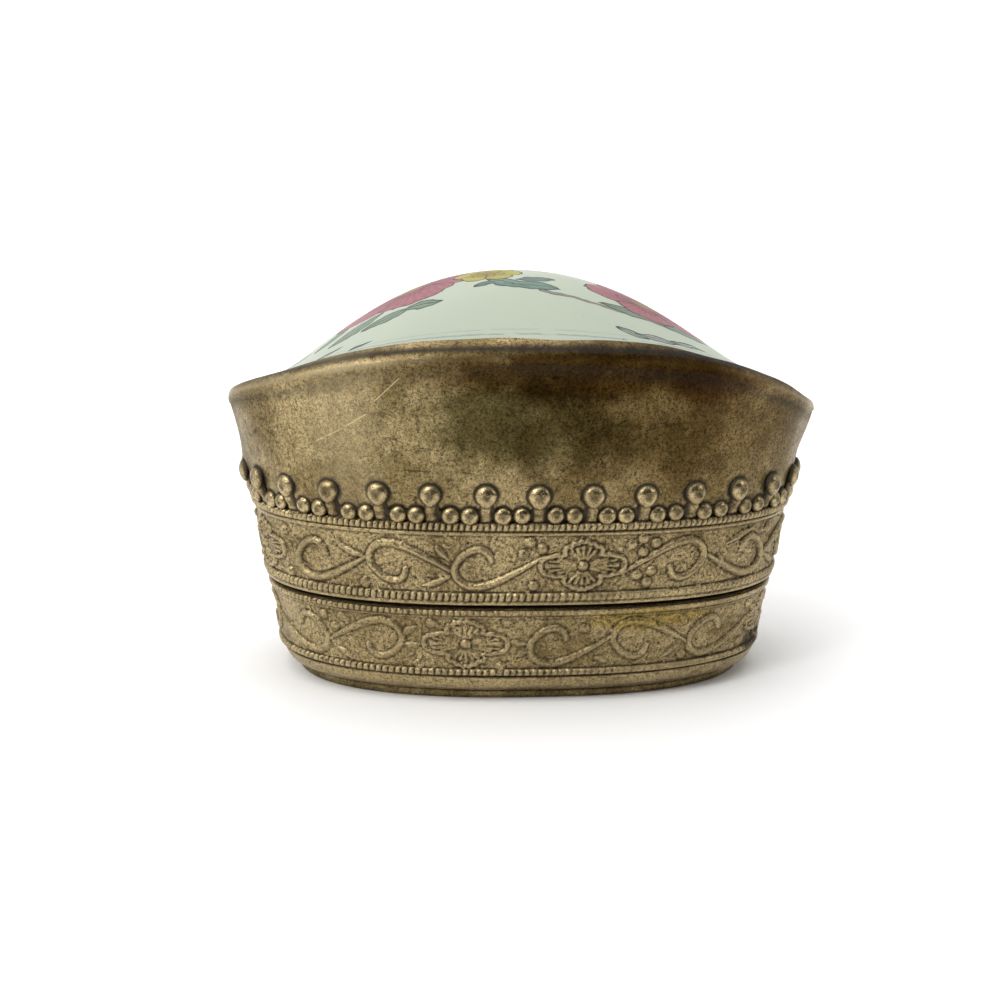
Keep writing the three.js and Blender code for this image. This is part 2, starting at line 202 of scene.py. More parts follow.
# Painting on the porcelain: places seen from above, in millimetres
FLOWERS = (
    {"at": (-13.2, -1.6), "radius": 9.3, "petals": 5, "turn": 0.5, "tones": ("pink_pale", "pink_deep")},
    {"at": (13.6, -6.8), "radius": 7.2, "petals": 5, "turn": 1.1, "tones": ("pink_pale", "pink_deep")},
    {"at": (15.5, 12.0), "radius": 5.2, "petals": 6, "turn": 0.2, "tones": ("violet", "pink_deep")},
    {"at": (-4.4, -4.2), "radius": 4.2, "petals": 6, "turn": 0.3, "tones": ("yellow", "ochre")},
    {"at": (-3.5, 13.8), "radius": 3.6, "petals": 5, "turn": 0.8, "tones": ("yellow", "ochre")},
)
TEAL_LEAVES = (
    (-2.4, -9.6, 3.0, 1.5, -38), (0.3, -10.6, 3.4, 1.6, -10), (-4.8, -9.6, 1.8, 0.8, 205),
    (1.0, -7.8, 2.4, 1.1, 14), (4.6, 3.6, 4.2, 1.7, 35), (-22.4, 3.4, 4.0, 1.5, 160),
    (-9.0, 12.2, 4.2, 1.6, 120), (7.6, 9.6, 3.6, 1.4, 70), (23.4, 4.2, 3.8, 1.4, 20),
)
GREY_LEAVES = (
    (-19.4, -11.2, 3.9, 1.5, 215), (-15.8, -12.6, 3.0, 1.3, 192), (-22.0, -7.6, 3.6, 1.2, 235),
    (-12.0, -12.4, 2.4, 1.1, 168), (11.6, -13.6, 4.2, 1.25, -4), (17.4, -13.0, 3.4, 1.2, 24),
    (-28.2, -5.5, 3.0, 0.8, 250), (-26.6, -9.4, 2.8, 0.75, 222), (21.6, -6.5, 3.4, 1.2, 60),
    (-16.5, 10.6, 3.6, 1.3, 130), (21.8, 9.4, 3.2, 1.2, 50), (27.0, -1.0, 3.0, 1.0, 75),
)
PALE_LEAVES = (
    (10.4, -19.7, 2.2, 0.62, -22), (13.2, -19.7, 2.6, 0.72, -4), (16.4, -18.9, 2.4, 0.62, 14),
    (-22.2, -16.6, 2.0, 0.5, 204), (-18.6, -18.6, 1.4, 0.36, 190), (9.0, 17.6, 2.2, 0.7, 10),
    (-11.0, 18.2, 2.2, 0.7, 170),
)
TWIGS = (
    ((1.4, -12.2), (5.5, -13.6)), ((5.5, -13.6), (9.7, -14.6)), ((9.7, -14.6), (15.6, -12.6)),
    ((-2.6, 0.5), (0.5, 5.5)), ((0.5, 5.5), (-2.6, 10.4)), ((0.5, 5.5), (6.0, 6.6)),
    ((6.0, 6.6), (13.2, 9.4)), ((16.0, -0.6), (20.6, 3.2)), ((20.6, 3.2), (18.0, 8.2)),
    ((-19.6, 4.2), (-23.6, 7.8)), ((-10.4, 7.8), (-8.4, 15.6)),
)

# Lamps: name, place, what they point at, size and power
LAMPS = (
    ("key_left", (-0.4, -0.3, 0.45), (0, 0, 0.022), 0.6, 1.9),
    ("glint_left", (-0.3, -0.34, 0.4), (0, 0, 0.03), 0.1, 0.55),
    ("fill_right", (0.5, -0.22, 0.3), (0, 0, 0.022), 0.16, 0.3),
    ("top_front", (0.0, -0.15, 0.62), (0, 0, 0.022), 0.5, 1.5),
    ("back_wash", (0.0, 0.35, 0.85), (0, 1.2, 0.35), 0.6, 9.0),
)

# Camera: angles in radians, distance and target in metres
CAMERA_LIFT = 0.22487
CAMERA_SWING = 0.0692
CAMERA_ROLL = 0.0112
CAMERA_DISTANCE = 0.1598
CAMERA_TARGET = (0, 0, 0.01546)


def bell(values, middle, width):
    """Smooth hump that is 1 at the middle and dies away over the width."""
    return np.exp(-((values - middle) / width) ** 2)


def swell(points, seed, length, count=16):
    """Smooth random swell of about -1 to 1 at points, its crests about a length apart."""
    rng = np.random.default_rng(seed)
    total = np.zeros(points.shape[:-1])
    for _ in range(count):
        way = rng.normal(size=points.shape[-1])
        way *= 2 * np.pi / (length * rng.uniform(0.7, 1.4) * np.linalg.norm(way))
        total += np.sin(points @ way + rng.uniform(0, 2 * np.pi))
    return total / math.sqrt(count)


def blurred(field, reach):
    """A field's average over the cells around each one. Columns run round the box and rows don't."""
    spans = range(-reach, reach + 1)
    around = sum(np.roll(field, span, axis=1) for span in spans) / len(spans)
    padded = np.pad(around, ((reach, reach), (0, 0)), mode="edge")
    rows = len(field)
    return sum(padded[start:start + rows] for start in range(2 * reach + 1)) / (2 * reach + 1)


def oval(half_width, turn):
    """Point on the oval of a half width. Every oval is stepped in evenly from the rim."""
    c, s = np.cos(turn), np.sin(turn)
    across = half_width * np.sign(c) * np.abs(c) ** (2 / OVAL_POWER)
    deep = (half_width - DEPTH_STEP) * np.sign(s) * np.abs(s) ** (2 / OVAL_POWER)
    return np.stack([across, deep], axis=-1)


class Girth:
    """Lengths round an oval, from the front middle towards +X."""

    def __init__(self, half_width):
        self.turns = np.linspace(-np.pi / 2, 1.5 * np.pi, 20001)
        steps = np.linalg.norm(np.diff(oval(half_width, self.turns), axis=0), axis=1)
        self.arcs = np.concatenate([[0], np.cumsum(steps)])
        self.length = self.arcs[-1]

    def turn_at(self, arc):
        return np.interp(np.mod(arc, self.length), self.arcs, self.turns)

    def evenly(self, columns):
        """Arcs of columns all round, from the back middle, and their turns."""
        arcs = np.linspace(-self.length / 2, self.length / 2, columns + 1)
        return arcs, self.turn_at(arcs)


class BoxForm:
    """The lid's curved surfaces, from the sizes in the panel."""

    def __init__(self, sizes):
        self.rim = sizes.rim_half_width / MM
        self.crest = sizes.crest_height / MM
        self.sheet = sizes.sheet_thickness / MM
        self.dent = sizes.dent_depth / MM

    def top(self, place):
        """Height of the porcelain's upper face over a place in the plan."""
        x = place[..., 0] / self.rim
        y = place[..., 1] / (self.rim - DEPTH_STEP)
        u, v = x * x, y * y
        a, b, c = LONG_FALL
        inside = 1 - np.abs(x) ** OVAL_POWER - np.abs(y) ** OVAL_POWER
        hollow = (END_HOLLOW * u + LEAN * x) * inside
        turned = (TWIST - LEFT_TWIST * x) * u ** TWIST_POWER * y
        fall = u * (a + u * (b + u * c)) + CROSS_FALL * v - CORNER_LIFT * u * v
        return self.crest - fall - hollow - turned

    def rim_level(self, turn):
        return self.top(oval(self.rim, turn)) - RIM_DROP

    def flare_half_width(self, part):
        foot = SKIRT["flare"][1]
        return foot + (self.rim - foot) * np.maximum(part, 0) ** FLARE_POWER

    def level(self, half_width, height, turn):
        place = oval(half_width, turn)
        return np.concatenate([place, np.full((len(turn), 1), height)], axis=1)

    def on_top(self, half_width, scale, offset, turn):
        place = oval(half_width, turn) * scale
        return np.concatenate([place, (self.top(place) + offset)[:, None]], axis=1)

    def on_flare(self, part, turn):
        foot = SKIRT["flare"][0]
        height = foot + (self.rim_level(turn) - foot) * part
        place = oval(self.flare_half_width(part), turn)
        return np.concatenate([place, height[:, None]], axis=1)

    def on_ledge(self, reach, drop, turn):
        """Ledge under the porcelain, from the wall's inside at reach 0 to its edge at reach 1."""
        height = self.top(oval(PANEL_UNDER_HALF_WIDTH, turn)) - LEDGE_DROP - drop
        foot = SKIRT["flare"][0]
        wall = self.flare_half_width((height - foot) / (self.rim_level(turn) - foot)) - self.sheet
        place = oval(wall + (LEDGE_HALF_WIDTH - wall) * reach, turn)
        return np.column_stack([place, height])


def lid_half_width(height):
    """Outer half width of the lid's sheet up to the foot of the flare."""
    levels, widths = zip(*(SKIRT[key] for key in ("foot", "top", "shoulder", "flare")))
    return np.interp(height, levels, widths)


def fringe_beads(sizes):
    """The fringe's beads: middle, directions along and out, radius, and how pear-shaped."""
    girth = Girth(SKIRT["flare"][1])
    pitch = sizes.bead_pitch / MM
    rng = np.random.default_rng(BEAD_SEED)
    beads = []
    for arc in FIRST_BEAD + pitch * np.arange(-BEADS_EACH_WAY, BEADS_EACH_WAY):
        places = [(arc, BIG_BEAD_HEIGHT, sizes.big_bead_radius / MM, 1)]
        for part in SMALL_BEAD_PLACES:
            places.append((arc + part * pitch, SMALL_BEAD_HEIGHT, sizes.small_bead_radius / MM, 0))
        for where, height, radius, pear in places:
            where, height, radius = (where, height, radius) + rng.normal(size=3) * (0.05, 0.06, 0.03)
            turn = girth.turn_at(where)
            here, ahead = oval(lid_half_width(height), np.array([turn, turn + 0.002]))
            along = np.append((ahead - here) / np.linalg.norm(ahead - here), 0)
            out = np.cross(along, (0, 0, 1))
            beads.append((np.append(here, height), along, out, radius, pear))
    return beads


def beside_beads(places, beads):
    """Distance sideways from each place of a ring to the middle line of the nearest bead."""
    nearest = np.full(len(places), 9.0)
    for middle, along, *_ in beads:
        away = places - middle[:2]
        beside = np.abs(away @ along[:2])
        near = (np.linalg.norm(away, axis=1) < 3) & (beside < nearest)
        nearest[near] = beside[near]
    return nearest


def rounded(rows, radii, steps=4):
    """Rounds the corners of a closed profile. Rows are rings of points, one for each corner."""
    ring = []
    count = len(rows)
    for i, (row, radius) in enumerate(zip(rows, radii)):
        if radius <= 0:
            ring.append(row)
            continue
        ends = []
        for other in (rows[i - 1], rows[(i + 1) % count]):
            away = other - row
            length = np.linalg.norm(away, axis=1, keepdims=True)
            ends.append(row + away * np.minimum(radius / np.maximum(length, 1e-9), 0.48))
        for t in np.linspace(0, 1, steps + 1):
            ring.append((1 - t) ** 2 * ends[0] + 2 * t * (1 - t) * row + t * t * ends[1])
    return ring


def filled(rows, longest):
    """Adds rows between those that lie further apart than the longest step for their height."""
    out = []
    for row, following in zip(rows, rows[1:]):
        apart = np.linalg.norm(following - row, axis=1).mean()
        step = longest(row[:, 2].mean(), following[:, 2].mean())
        count = max(1, int(math.ceil(apart / step)))
        out.extend(row + (following - row) * (k / count) for k in range(count))
    out.append(rows[-1])
    return out


def deselect():
    bpy.ops.object.select_all(action="DESELECT")


def read_points(mesh):
    points = np.empty(len(mesh.vertices) * 3)
    mesh.vertices.foreach_get("co", points)
    return points.reshape(-1, 3)


def write_points(mesh, points):
    mesh.vertices.foreach_set("co", np.asarray(points, dtype=np.float32).ravel())
    mesh.update()


def weld(piece):
    """Closes a piece's seams and poles, and turns its faces outwards."""
    deselect()
    piece.select_set(True)
    bpy.context.view_layer.objects.active = piece
    bpy.ops.object.mode_set(mode="EDIT")
    bpy.ops.mesh.select_all(action="SELECT")
    bpy.ops.mesh.remove_doubles(threshold=WELD)
    bpy.ops.mesh.normals_make_consistent(inside=False)
    bpy.ops.object.mode_set(mode="OBJECT")


def rolled_sheet(name, points, layers=None):
    """A flat sheet of cells is added, rolled to the rows of points given, and welded."""
    rows, columns = points.shape[:2]
    deselect()
    bpy.ops.mesh.primitive_grid_add(
        x_subdivisions=columns - 1, y_subdivisions=rows - 1, size=2, calc_uvs=False
    )
    sheet = bpy.context.active_object
    sheet.name = name
    sheet.data.name = name
    flat = read_points(sheet.data)
    column = np.rint((flat[:, 0] + 1) / 2 * (columns - 1)).astype(int)
    row = np.rint((flat[:, 1] + 1) / 2 * (rows - 1)).astype(int)
    write_points(sheet.data, points[row, column] * MM)
    for label, values in (layers or {}).items():
        layer = sheet.data.attributes.new(label, "FLOAT", "POINT")
        layer.data.foreach_set("value", values[row, column].astype(np.float32))
    weld(sheet)
    bpy.ops.object.shade_smooth_by_angle(angle=math.radians(50))
    return sheet


def dress(piece, material, node):
    """Gives a piece its material and hangs it on the frame in the place of a CAD node."""
    piece.data.materials.clear()
    piece.data.materials.append(material)
    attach(piece, "root")
    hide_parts(node)


class Wire:
    """A socket in a material. Arithmetic on it adds Math nodes."""

    def __init__(self, paint, socket):
        self.paint = paint
        self.socket = socket

    def __add__(self, other):
        return self.paint.math("ADD", self, other)

    def __sub__(self, other):
        return self.paint.math("SUBTRACT", self, other)

    def __rsub__(self, other):
        return self.paint.math("SUBTRACT", other, self)

    def __mul__(self, other):
        return self.paint.math("MULTIPLY", self, other)

    def __truediv__(self, other):
        return self.paint.math("DIVIDE", self, other)

    def __neg__(self):
        return self.paint.math("MULTIPLY", self, -1.0)

    __radd__ = __add__
    __rmul__ = __mul__

    def clipped(self):
        return self.paint.node("ShaderNodeClamp", {}, {"Value": self})


class Paint:
    """A material under construction."""

    def __init__(self, name):
        self.material = bpy.data.materials.new(name)
        self.material.use_nodes = True
        self.tree = self.material.node_tree
        self.tree.nodes.clear()

    def node(self, kind, settings, values, output=0):
        """Adds a node: its settings come first, then the values or wires of its sockets."""
        made = self.tree.nodes.new(kind)
        for key, value in settings.items():
            setattr(made, key, value)
        for key, value in values.items():
            if isinstance(value, Wire):
                self.tree.links.new(value.socket, made.inputs[key])
            else:
                made.inputs[key].default_value = value
        return Wire(self, made.outputs[output])

    def math(self, operation, *values):
        return self.node("ShaderNodeMath", {"operation": operation}, dict(enumerate(values)))

    def vector(self, operation, *values, output=0):
        settings = {"operation": operation}
        return self.node("ShaderNodeVectorMath", settings, dict(enumerate(values)), output)

    def dot(self, vector, way):
        return self.vector("DOT_PRODUCT", vector, way, output=1)

    def place(self):
        """The piece's own coordinates in millimetres."""
        where = self.node("ShaderNodeTexCoord", {}, {}, 3)
        return self.vector("MULTIPLY", where, (1 / MM,) * 3)

    def noise(self, vector, size, detail=2.0, roughness=0.5, distortion=0.0):
        values = {
            "Vector": vector,
            "Scale": 1 / size,
            "Detail": detail,
            "Roughness": roughness,
            "Distortion": distortion,
        }
        return self.node("ShaderNodeTexNoise", {}, values)

    def fade(self, value, low, high, to_low=0.0, to_high=1.0):
        """Soft step of a value from one end of a range to the other."""
        values = {"Value": value, 1: low, 2: high, 3: to_low, 4: to_high}
        return self.node("ShaderNodeMapRange", {"interpolation_type": "SMOOTHSTEP"}, values)

    def mix(self, factor, first, second):
        settings = {"data_type": "RGBA"}
        return self.node("ShaderNodeMix", settings, {0: factor, 6: first, 7: second}, 2)

    def tint(self, colour, amount):
        """A colour made darker or lighter by a number."""
        return self.node("ShaderNodeVectorMath", {"operation": "SCALE"}, {0: colour, 3: amount})

    def tint_over(self, factor, shade, colour):
        """Lays a see-through tint over a colour, so that the grain under it still shows, for stains,
        patina, painted shade and painted reflection.
        """
        return self.mix(factor, shade, self.vector("MULTIPLY", shade, tuple(colour)[:3]))

    def layer(self, name):
        return self.node("ShaderNodeAttribute", {"attribute_name": name}, {}, 2)

    def bump(self, height, distance, strength=1.0, normal=None):
        values = {"Height": height, "Distance": distance, "Strength": strength}
        if normal is not None:
            values["Normal"] = normal
        return self.node("ShaderNodeBump", {}, values)

    def surface(self, values):
        return self.node("ShaderNodeBsdfPrincipled", {}, values)

    def finish(self, shader):
        output = self.tree.nodes.new("ShaderNodeOutputMaterial")
        self.tree.links.new(shader.socket, output.inputs["Surface"])
        return self.material


def tarnished_shaded_metal(name, colours, marks=None, grain=1.0, tarnish=0.0, shine=0.0):
    """White metal gone brown: mottled film and dark pits, with hollows darkened as tarnish and painted
    shade and high places brightened as rubbed wear and painted highlight.
    """
    paint = Paint(name)
    at = paint.place()
    relief = paint.layer("relief")
    hollow = (-relief).clipped()
    high = relief.clipped()
    cloud = paint.noise(at, 8.0, 3.0, 0.6)
    blotch = paint.noise(at, 1.7, 4.0, 0.65, 0.4)
    speck = paint.noise(at, 0.36, 3.0, 0.7)
    grit = paint.noise(at, 0.15, 2.0, 0.6)
    pit = paint.fade(paint.noise(at, 0.62, 4.0, 0.75, 0.3), 0.585, 0.66)
    fine = speck * 0.5 + grit * 0.5
    film = paint.fade(cloud * 0.65 + blotch * 0.35 + tarnish, 0.38, 0.66)
    shade = paint.mix(film, tuple(colours.metal_light), tuple(colours.metal_tarnish))
    shade = paint.tint(shade, paint.fade(fine, 0.4, 0.6, 0.55, 1.4))
    specks = paint.fade(fine + blotch * 0.25, 0.57, 0.5)
    shade = paint.mix(specks * 0.6 * grain, shade, tuple(colours.metal_dark))
    shade = paint.mix(pit * 0.55, shade, tuple(colours.metal_dark))
    # High places of the relief layer: rubbed wear and painted highlight. Low places, below: tarnish and
    # painted shade.
    shade = paint.mix(high * (0.2 + film * 0.2 + shine), shade, tuple(colours.rubbed_and_highlight))
    dark = (hollow * (0.8 + blotch * 0.7)).clipped()
    shade = paint.mix(dark * 0.95, shade, tuple(colours.metal_dark))
    rough = 0.36 - shine + film * 0.12 + pit * 0.15 + dark * 0.25 - high * 0.08
    if marks:
        shade, rough = marks(paint, at, shade, rough)
    height = grit * 0.5 + speck * 0.9 - pit * 0.9
    normal = paint.bump(height, 0.07 * MM, 0.7 * grain)
    normal = paint.bump(blotch, 0.25 * MM, 0.35 * grain, normal)
    return paint.finish(paint.surface({
        "Base Color": shade,
        "Metallic": 1.0 - dark * 0.6,
        "Roughness": rough,
        "Normal": normal,
    }))


def patch(paint, at, centre, reach, soft, wobble):
    """Mask of a patch with ragged soft edges round a place, one for each axis that counts."""
    away = paint.vector("SUBTRACT", at, centre)
    away = paint.vector("MULTIPLY", away, tuple(1 / r if r else 0.0 for r in reach))
    distance = paint.vector("LENGTH", away, output=1) + (wobble - 0.5) * 1.3
    return paint.fade(distance, 1 + soft, 1 - soft)


def wall_marks(colours):
    """Patina, pitted dashes and scratches of the lid's plain wall, with a painted highlight on its
    left, painted shade over its right and under the rim, and a painted red reflection.
    """

    def marks(paint, at, shade, rough):
        wobble = paint.noise(at, 5.0, 5.0, 0.65)
        ragged = paint.noise(at, 1.3, 4.0, 0.7)
        front = paint.fade(paint.dot(at, (0, 1, 0)), 4, -12)
        across, up = paint.dot(at, (1, 0, 0)), paint.dot(at, (0, 0, 1))
        flat = paint.node("ShaderNodeCombineXYZ", {}, {"X": across, "Y": up})
        leaning = paint.vector("ADD", at, paint.tint((0.6, 0, 0), up - 32))
        # Painted highlight: a soft bright glow on the wall's left.
        glow = patch(paint, at, (-20.5, -20, 31.5), (3.4, 0, 8.0), 0.8, wobble) * front
        # Painted shade in brown over the right half of the front.
        right_shade = patch(paint, at, (14, -24, 33.5), (16, 0, 9.0), 0.5, wobble) * front
        # Green patina on the front, darkened further as painted shade, and spreading right with the
        # patch below.
        green = patch(paint, leaning, (-1.0, -24, 32.4), (10.5, 0, 4.4), 0.3, wobble) * front
        drift = patch(paint, at, (7, -24, 31.5), (9, 0, 3.4), 0.5, wobble) * front
        # Painted shade in brown under the rim.
        under = patch(paint, at, (5.5, -24, 38.0), (18.5, 0, 2.9), 0.45, wobble) * front
        # Painted reflection of a reddish surface under the rim on the right.
        red_reflection = patch(paint, at, (19, -22, 36.4), (5, 0, 1.6), 0.6, wobble) * front
        pits = patch(paint, at, (-29.5, -15, 29.8), (2.4, 0, 3.2), 0.6, wobble)
        spots = patch(paint, at, (-14.5, -23, 33), (3.4, 0, 3.6), 0.6, wobble)
        pits = paint.math("MAXIMUM", pits, spots) * front * paint.fade(ragged, 0.54, 0.62)
        dashes = patch(paint, at, (-0.2, -24, 38.6), (3.7, 0, 0.36), 0.3, ragged) * front
        dashes = dashes * paint.fade(paint.noise(at, 0.5, 2.0), 0.44, 0.54)
        lines = twig_depth(paint, flat, DARK_LINES, 0.13) + (ragged - 0.56) * 0.7
        scratch = paint.fade(twig_depth(paint, flat, SCRATCHES, 0.06), -0.02, 0.05) * front
        dark = tuple(colours.metal_dark)
        # Lays the painted highlight, the painted shade over the right, the green patina with its
        # painted shade, the painted shade under the rim and the painted red reflection.
        shade = paint.mix(glow * 0.16, shade, tuple(colours.rubbed_and_highlight))
        green = paint.math("MAXIMUM", green, drift * 0.55)
        shade = paint.tint_over(right_shade * 0.8, shade, colours.brown_shade)
        shade = paint.tint_over(green * 0.9, shade, colours.green_patina_and_shade)
        shade = paint.tint_over(under, shade, colours.brown_shade)
        shade = paint.tint_over(red_reflection * 0.6, shade, colours.painted_red_reflection)
        shade = paint.mix(paint.math("MAXIMUM", dashes * 0.85, pits * 0.55), shade, dark)
        shade = paint.mix(paint.fade(lines, -0.02, 0.1) * front * 0.65, shade, dark)
        shade = paint.mix(scratch * 0.6, shade, tuple(colours.rubbed_and_highlight))
        return shade, rough + green * 0.06 + under * 0.06

    return marks


def base_marks(colours):
    """Yellow stain and black smear low on the right of the base."""

    def marks(paint, at, shade, rough):
        wobble = paint.noise(at, 2.5, 5.0, 0.65)
        front = paint.fade(paint.dot(at, (0, 1, 0)), 2, -8)
        tint_over = patch(paint, at, (13, -17, 10.0), (7.0, 0, 1.3), 0.25, wobble) * front
        smear = patch(paint, at, (27.5, -9, 4.6), (2.2, 4, 1.2), 0.3, wobble) * front
        shade = paint.tint_over(tint_over, shade, colours.stain_yellow)
        shade = paint.mix(smear * 0.85, shade, tuple(colours.metal_dark))
        return shade, rough + smear * 0.1

    return marks


def leaf_group(paint, at, leaves):
    """How deep a place lies inside a group of leaves, and inside their veins, in millimetres."""
    depth, vein = None, None
    for x, y, length, width, angle in leaves:
        c, s = math.cos(math.radians(angle)), math.sin(math.radians(angle))
        away = paint.vector("SUBTRACT", at, (x, y, 0))
        along = paint.dot(away, (c / length, s / length, 0))
        across = paint.math("ABSOLUTE", paint.dot(away, (-s, c, 0)))
        inside = (1 - along * along) * width - across
        rib = paint.math("MINIMUM", inside, 0.11 - across)
        depth = inside if depth is None else paint.math("MAXIMUM", depth, inside)
        vein = rib if vein is None else paint.math("MAXIMUM", vein, rib)
    return depth, vein


def twig_depth(paint, at, twigs, half_width):
    """How deep a place lies inside a set of straight twigs, in millimetres."""
    nearest = None
    for start, end in twigs:
        way = (end[0] - start[0], end[1] - start[1], 0)
        square = way[0] ** 2 + way[1] ** 2
        away = paint.vector("SUBTRACT", at, (*start, 0))
        along = paint.dot(away, tuple(c / square for c in way)).clipped()
        foot = paint.tint(way, along)
        distance = paint.vector("LENGTH", paint.vector("SUBTRACT", away, foot), output=1)
        nearest = distance if nearest is None else paint.math("MINIMUM", nearest, distance)
    return half_width - nearest


def painted_flower(paint, at, streak, flower, glaze, colours):
    """Lays one open flower over a colour: lobed petals with streaks, dark edges and a centre."""
    x, y = flower["at"]
    radius, petals = flower["radius"], flower["petals"]
    away = paint.vector("SUBTRACT", at, (x, y, 0))
    distance = paint.vector("LENGTH", away, output=1)
    bearing = paint.math("ARCTAN2", paint.dot(away, (0, 1, 0)), paint.dot(away, (1, 0, 0)))
    lobe = paint.math("ABSOLUTE", paint.math("COSINE", bearing * (petals / 2) + flower["turn"]))
    edge = (0.8 + lobe * 0.2) * radius
    inside = edge - distance
    ring = paint.fade(distance / radius, 0.1, 0.85)
    rays = paint.math("SINE", bearing * (petals * 9) + streak * 8) * 0.5 + 0.5
    pale, deep = (tuple(getattr(colours, tone)) for tone in flower["tones"])
    body = paint.mix((ring * 0.75 + rays * 0.4 * (1 - ring * 0.4)).clipped(), deep, pale)
    seams = paint.fade(lobe * distance, 0.42, 0.16) * paint.fade(distance, 0.6, 1.4)
    body = paint.mix(seams * 0.75, body, tuple(colours.outline))
    inner = 0.5 * radius * (0.8 + 0.2 * paint.math("COSINE", bearing * petals + 1.7)) - distance
    crease = paint.fade(inner, 0.16, 0.0) * paint.fade(inner, -0.2, -0.04)
    body = paint.mix(crease * 0.8, body, tuple(colours.outline))
    heart = paint.fade(distance, 0.24 * radius, 0.16 * radius)
    body = paint.mix(heart * 0.9, body, tuple(colours.ochre))
    body = paint.mix(paint.fade(inside, 0.34, 0.14), body, tuple(colours.outline))
    mask = paint.fade(inside, -0.03, 0.06)
    return paint.mix(mask, glaze, body), mask


def painted_porcelain(colours):
    """Pale celadon glaze with a painted spray of flowers, leaves and twigs."""
    paint = Paint("painted_porcelain")
    at = paint.place()
    flat = paint.vector("MULTIPLY", at, (1, 1, 0))
    drift = paint.node("ShaderNodeTexNoise", {}, {"Vector": at, "Scale": 0.45, "Detail": 2.0}, 1)
    drift = paint.vector("MULTIPLY", paint.vector("SUBTRACT", drift, (0.5,) * 3), (1.3, 1.3, 0))
    hand = paint.vector("ADD", flat, drift)
    streak = paint.noise(at, 1.1, 3.0, 0.6)
    cloud = paint.noise(at, 12.0, 2.0)
    colour = paint.mix(cloud, tuple(colours.glaze), tuple(colours.glaze_warm))
    pigment = None

    def add(mask):
        nonlocal pigment
        pigment = mask if pigment is None else paint.math("MAXIMUM", pigment, mask)

    twig = twig_depth(paint, hand, TWIGS, 0.34)
    wood = paint.mix(paint.fade(twig, 0.22, 0.1), tuple(colours.twig), tuple(colours.outline))
    twig_mask = paint.fade(twig, -0.03, 0.05)
    colour = paint.mix(twig_mask * 0.85, colour, wood)
    add(twig_mask)
    groups = ((GREY_LEAVES, "leaf_grey"), (TEAL_LEAVES, "leaf_teal"), (PALE_LEAVES, "leaf_pale"))
    for leaves, tone in groups:
        depth, vein = leaf_group(paint, hand, leaves)
        fill = tuple(getattr(colours, tone))
        light = tuple(0.65 * c + 0.35 * g for c, g in zip(fill, colours.glaze))
        body = paint.mix((streak * 0.9 + paint.fade(depth, 0.9, 0.2) * 0.5).clipped(), light, fill)
        body = paint.mix(paint.fade(vein, -0.02, 0.05) * 0.8, body, tuple(colours.outline))
        body = paint.mix(paint.fade(depth, 0.3, 0.14), body, tuple(colours.outline))
        mask = paint.fade(depth, -0.03, 0.06)
        colour = paint.mix(mask * 0.95, colour, body)
        add(mask)
    for flower in FLOWERS:
        colour, mask = painted_flower(paint, hand, streak, flower, colour, colours)
        add(mask)
    edge = paint.layer("edge")
    waver = (streak - 0.5) * 0.5
    front = paint.fade(paint.dot(at, (0, 1, 0)), -6, -12)
    line = paint.math("ABSOLUTE", edge + waver - 1.55)
    second = paint.math("ABSOLUTE", edge - waver - 2.35)
    faint = paint.math("MAXIMUM", paint.fade(line, 0.22, 0.05), paint.fade(second, 0.14, 0.03) * 0.6)
    broken = paint.fade(paint.noise(at, 3.0, 2.0), 0.36, 0.5)
    colour = paint.mix(faint * front * broken * 0.5, colour, tuple(colours.line_blue))
    speck = paint.fade(paint.noise(at, 0.5, 2.0, 0.6), 0.72, 0.78)
    colour = paint.mix(speck * 0.5, colour, tuple(colours.outline))
    # Dirt and painted shade on the porcelain next to the metal lip: darker and rougher.
    grime = paint.layer("grime")
    soiled_and_shaded = (grime * (0.6 + streak * 0.8)).clipped() * 0.8
    colour = paint.mix(soiled_and_shaded, colour, tuple(colours.metal_dark))
    height = pigment * 0.5 + paint.noise(at, 3.0, 2.0) * 0.5
    normal = paint.bump(height, 0.05 * MM, 0.5)
    rough = 0.08 + grime * 0.4 + paint.fade(streak, 0.6, 0.8) * 0.05
    looks = {"Base Color": colour, "Roughness": rough, "Normal": normal}
    body = paint.surface({**looks, "Specular IOR Level": 0.0})
    gloss = paint.surface({**looks, "IOR": 1.45})
    return paint.finish(paint.node("ShaderNodeMixShader", {}, {0: 0.22, 1: body, 2: gloss}))


def stud_height(arcs, heights, x, y, radius, rise):
    """Rise of a round boss over a strip, and the columns that it covers."""
    columns = np.nonzero(np.abs(arcs - x) < radius + 0.2)[0]
    apart = np.hypot(arcs[columns][None, :] - x, heights[:, None] - y) / radius
    return columns, rise * np.clip(1 - apart ** 2, 0, 1) ** 0.6


def ridge_height(arcs, heights, path, widths, rise):
    """Rise of a rounded ridge along a path over a strip, and the columns that it covers."""
    path = np.asarray(path, dtype=float)
    widths = np.asarray(widths, dtype=float)
    reach = widths.max() + 0.1
    low, high = path[:, 0].min() - reach, path[:, 0].max() + reach
    columns = np.nonzero((arcs >= low) & (arcs <= high))[0]
    x, y = arcs[columns][None, :], heights[:, None]
    best = np.zeros((len(heights), len(columns)))
    for p, q, first, last in zip(path, path[1:], widths, widths[1:]):
        way = q - p
        along = np.clip(((x - p[0]) * way[0] + (y - p[1]) * way[1]) / (way @ way), 0, 1)
        apart = np.hypot(x - p[0] - along * way[0], y - p[1] - along * way[1])
        width = first + (last - first) * along
        bulge = np.clip(1 - (apart / width) ** 2, 0, 1) ** 0.7
        best = np.maximum(best, bulge * np.minimum(1, width / widths.max() + 0.25))
    return columns, rise * best


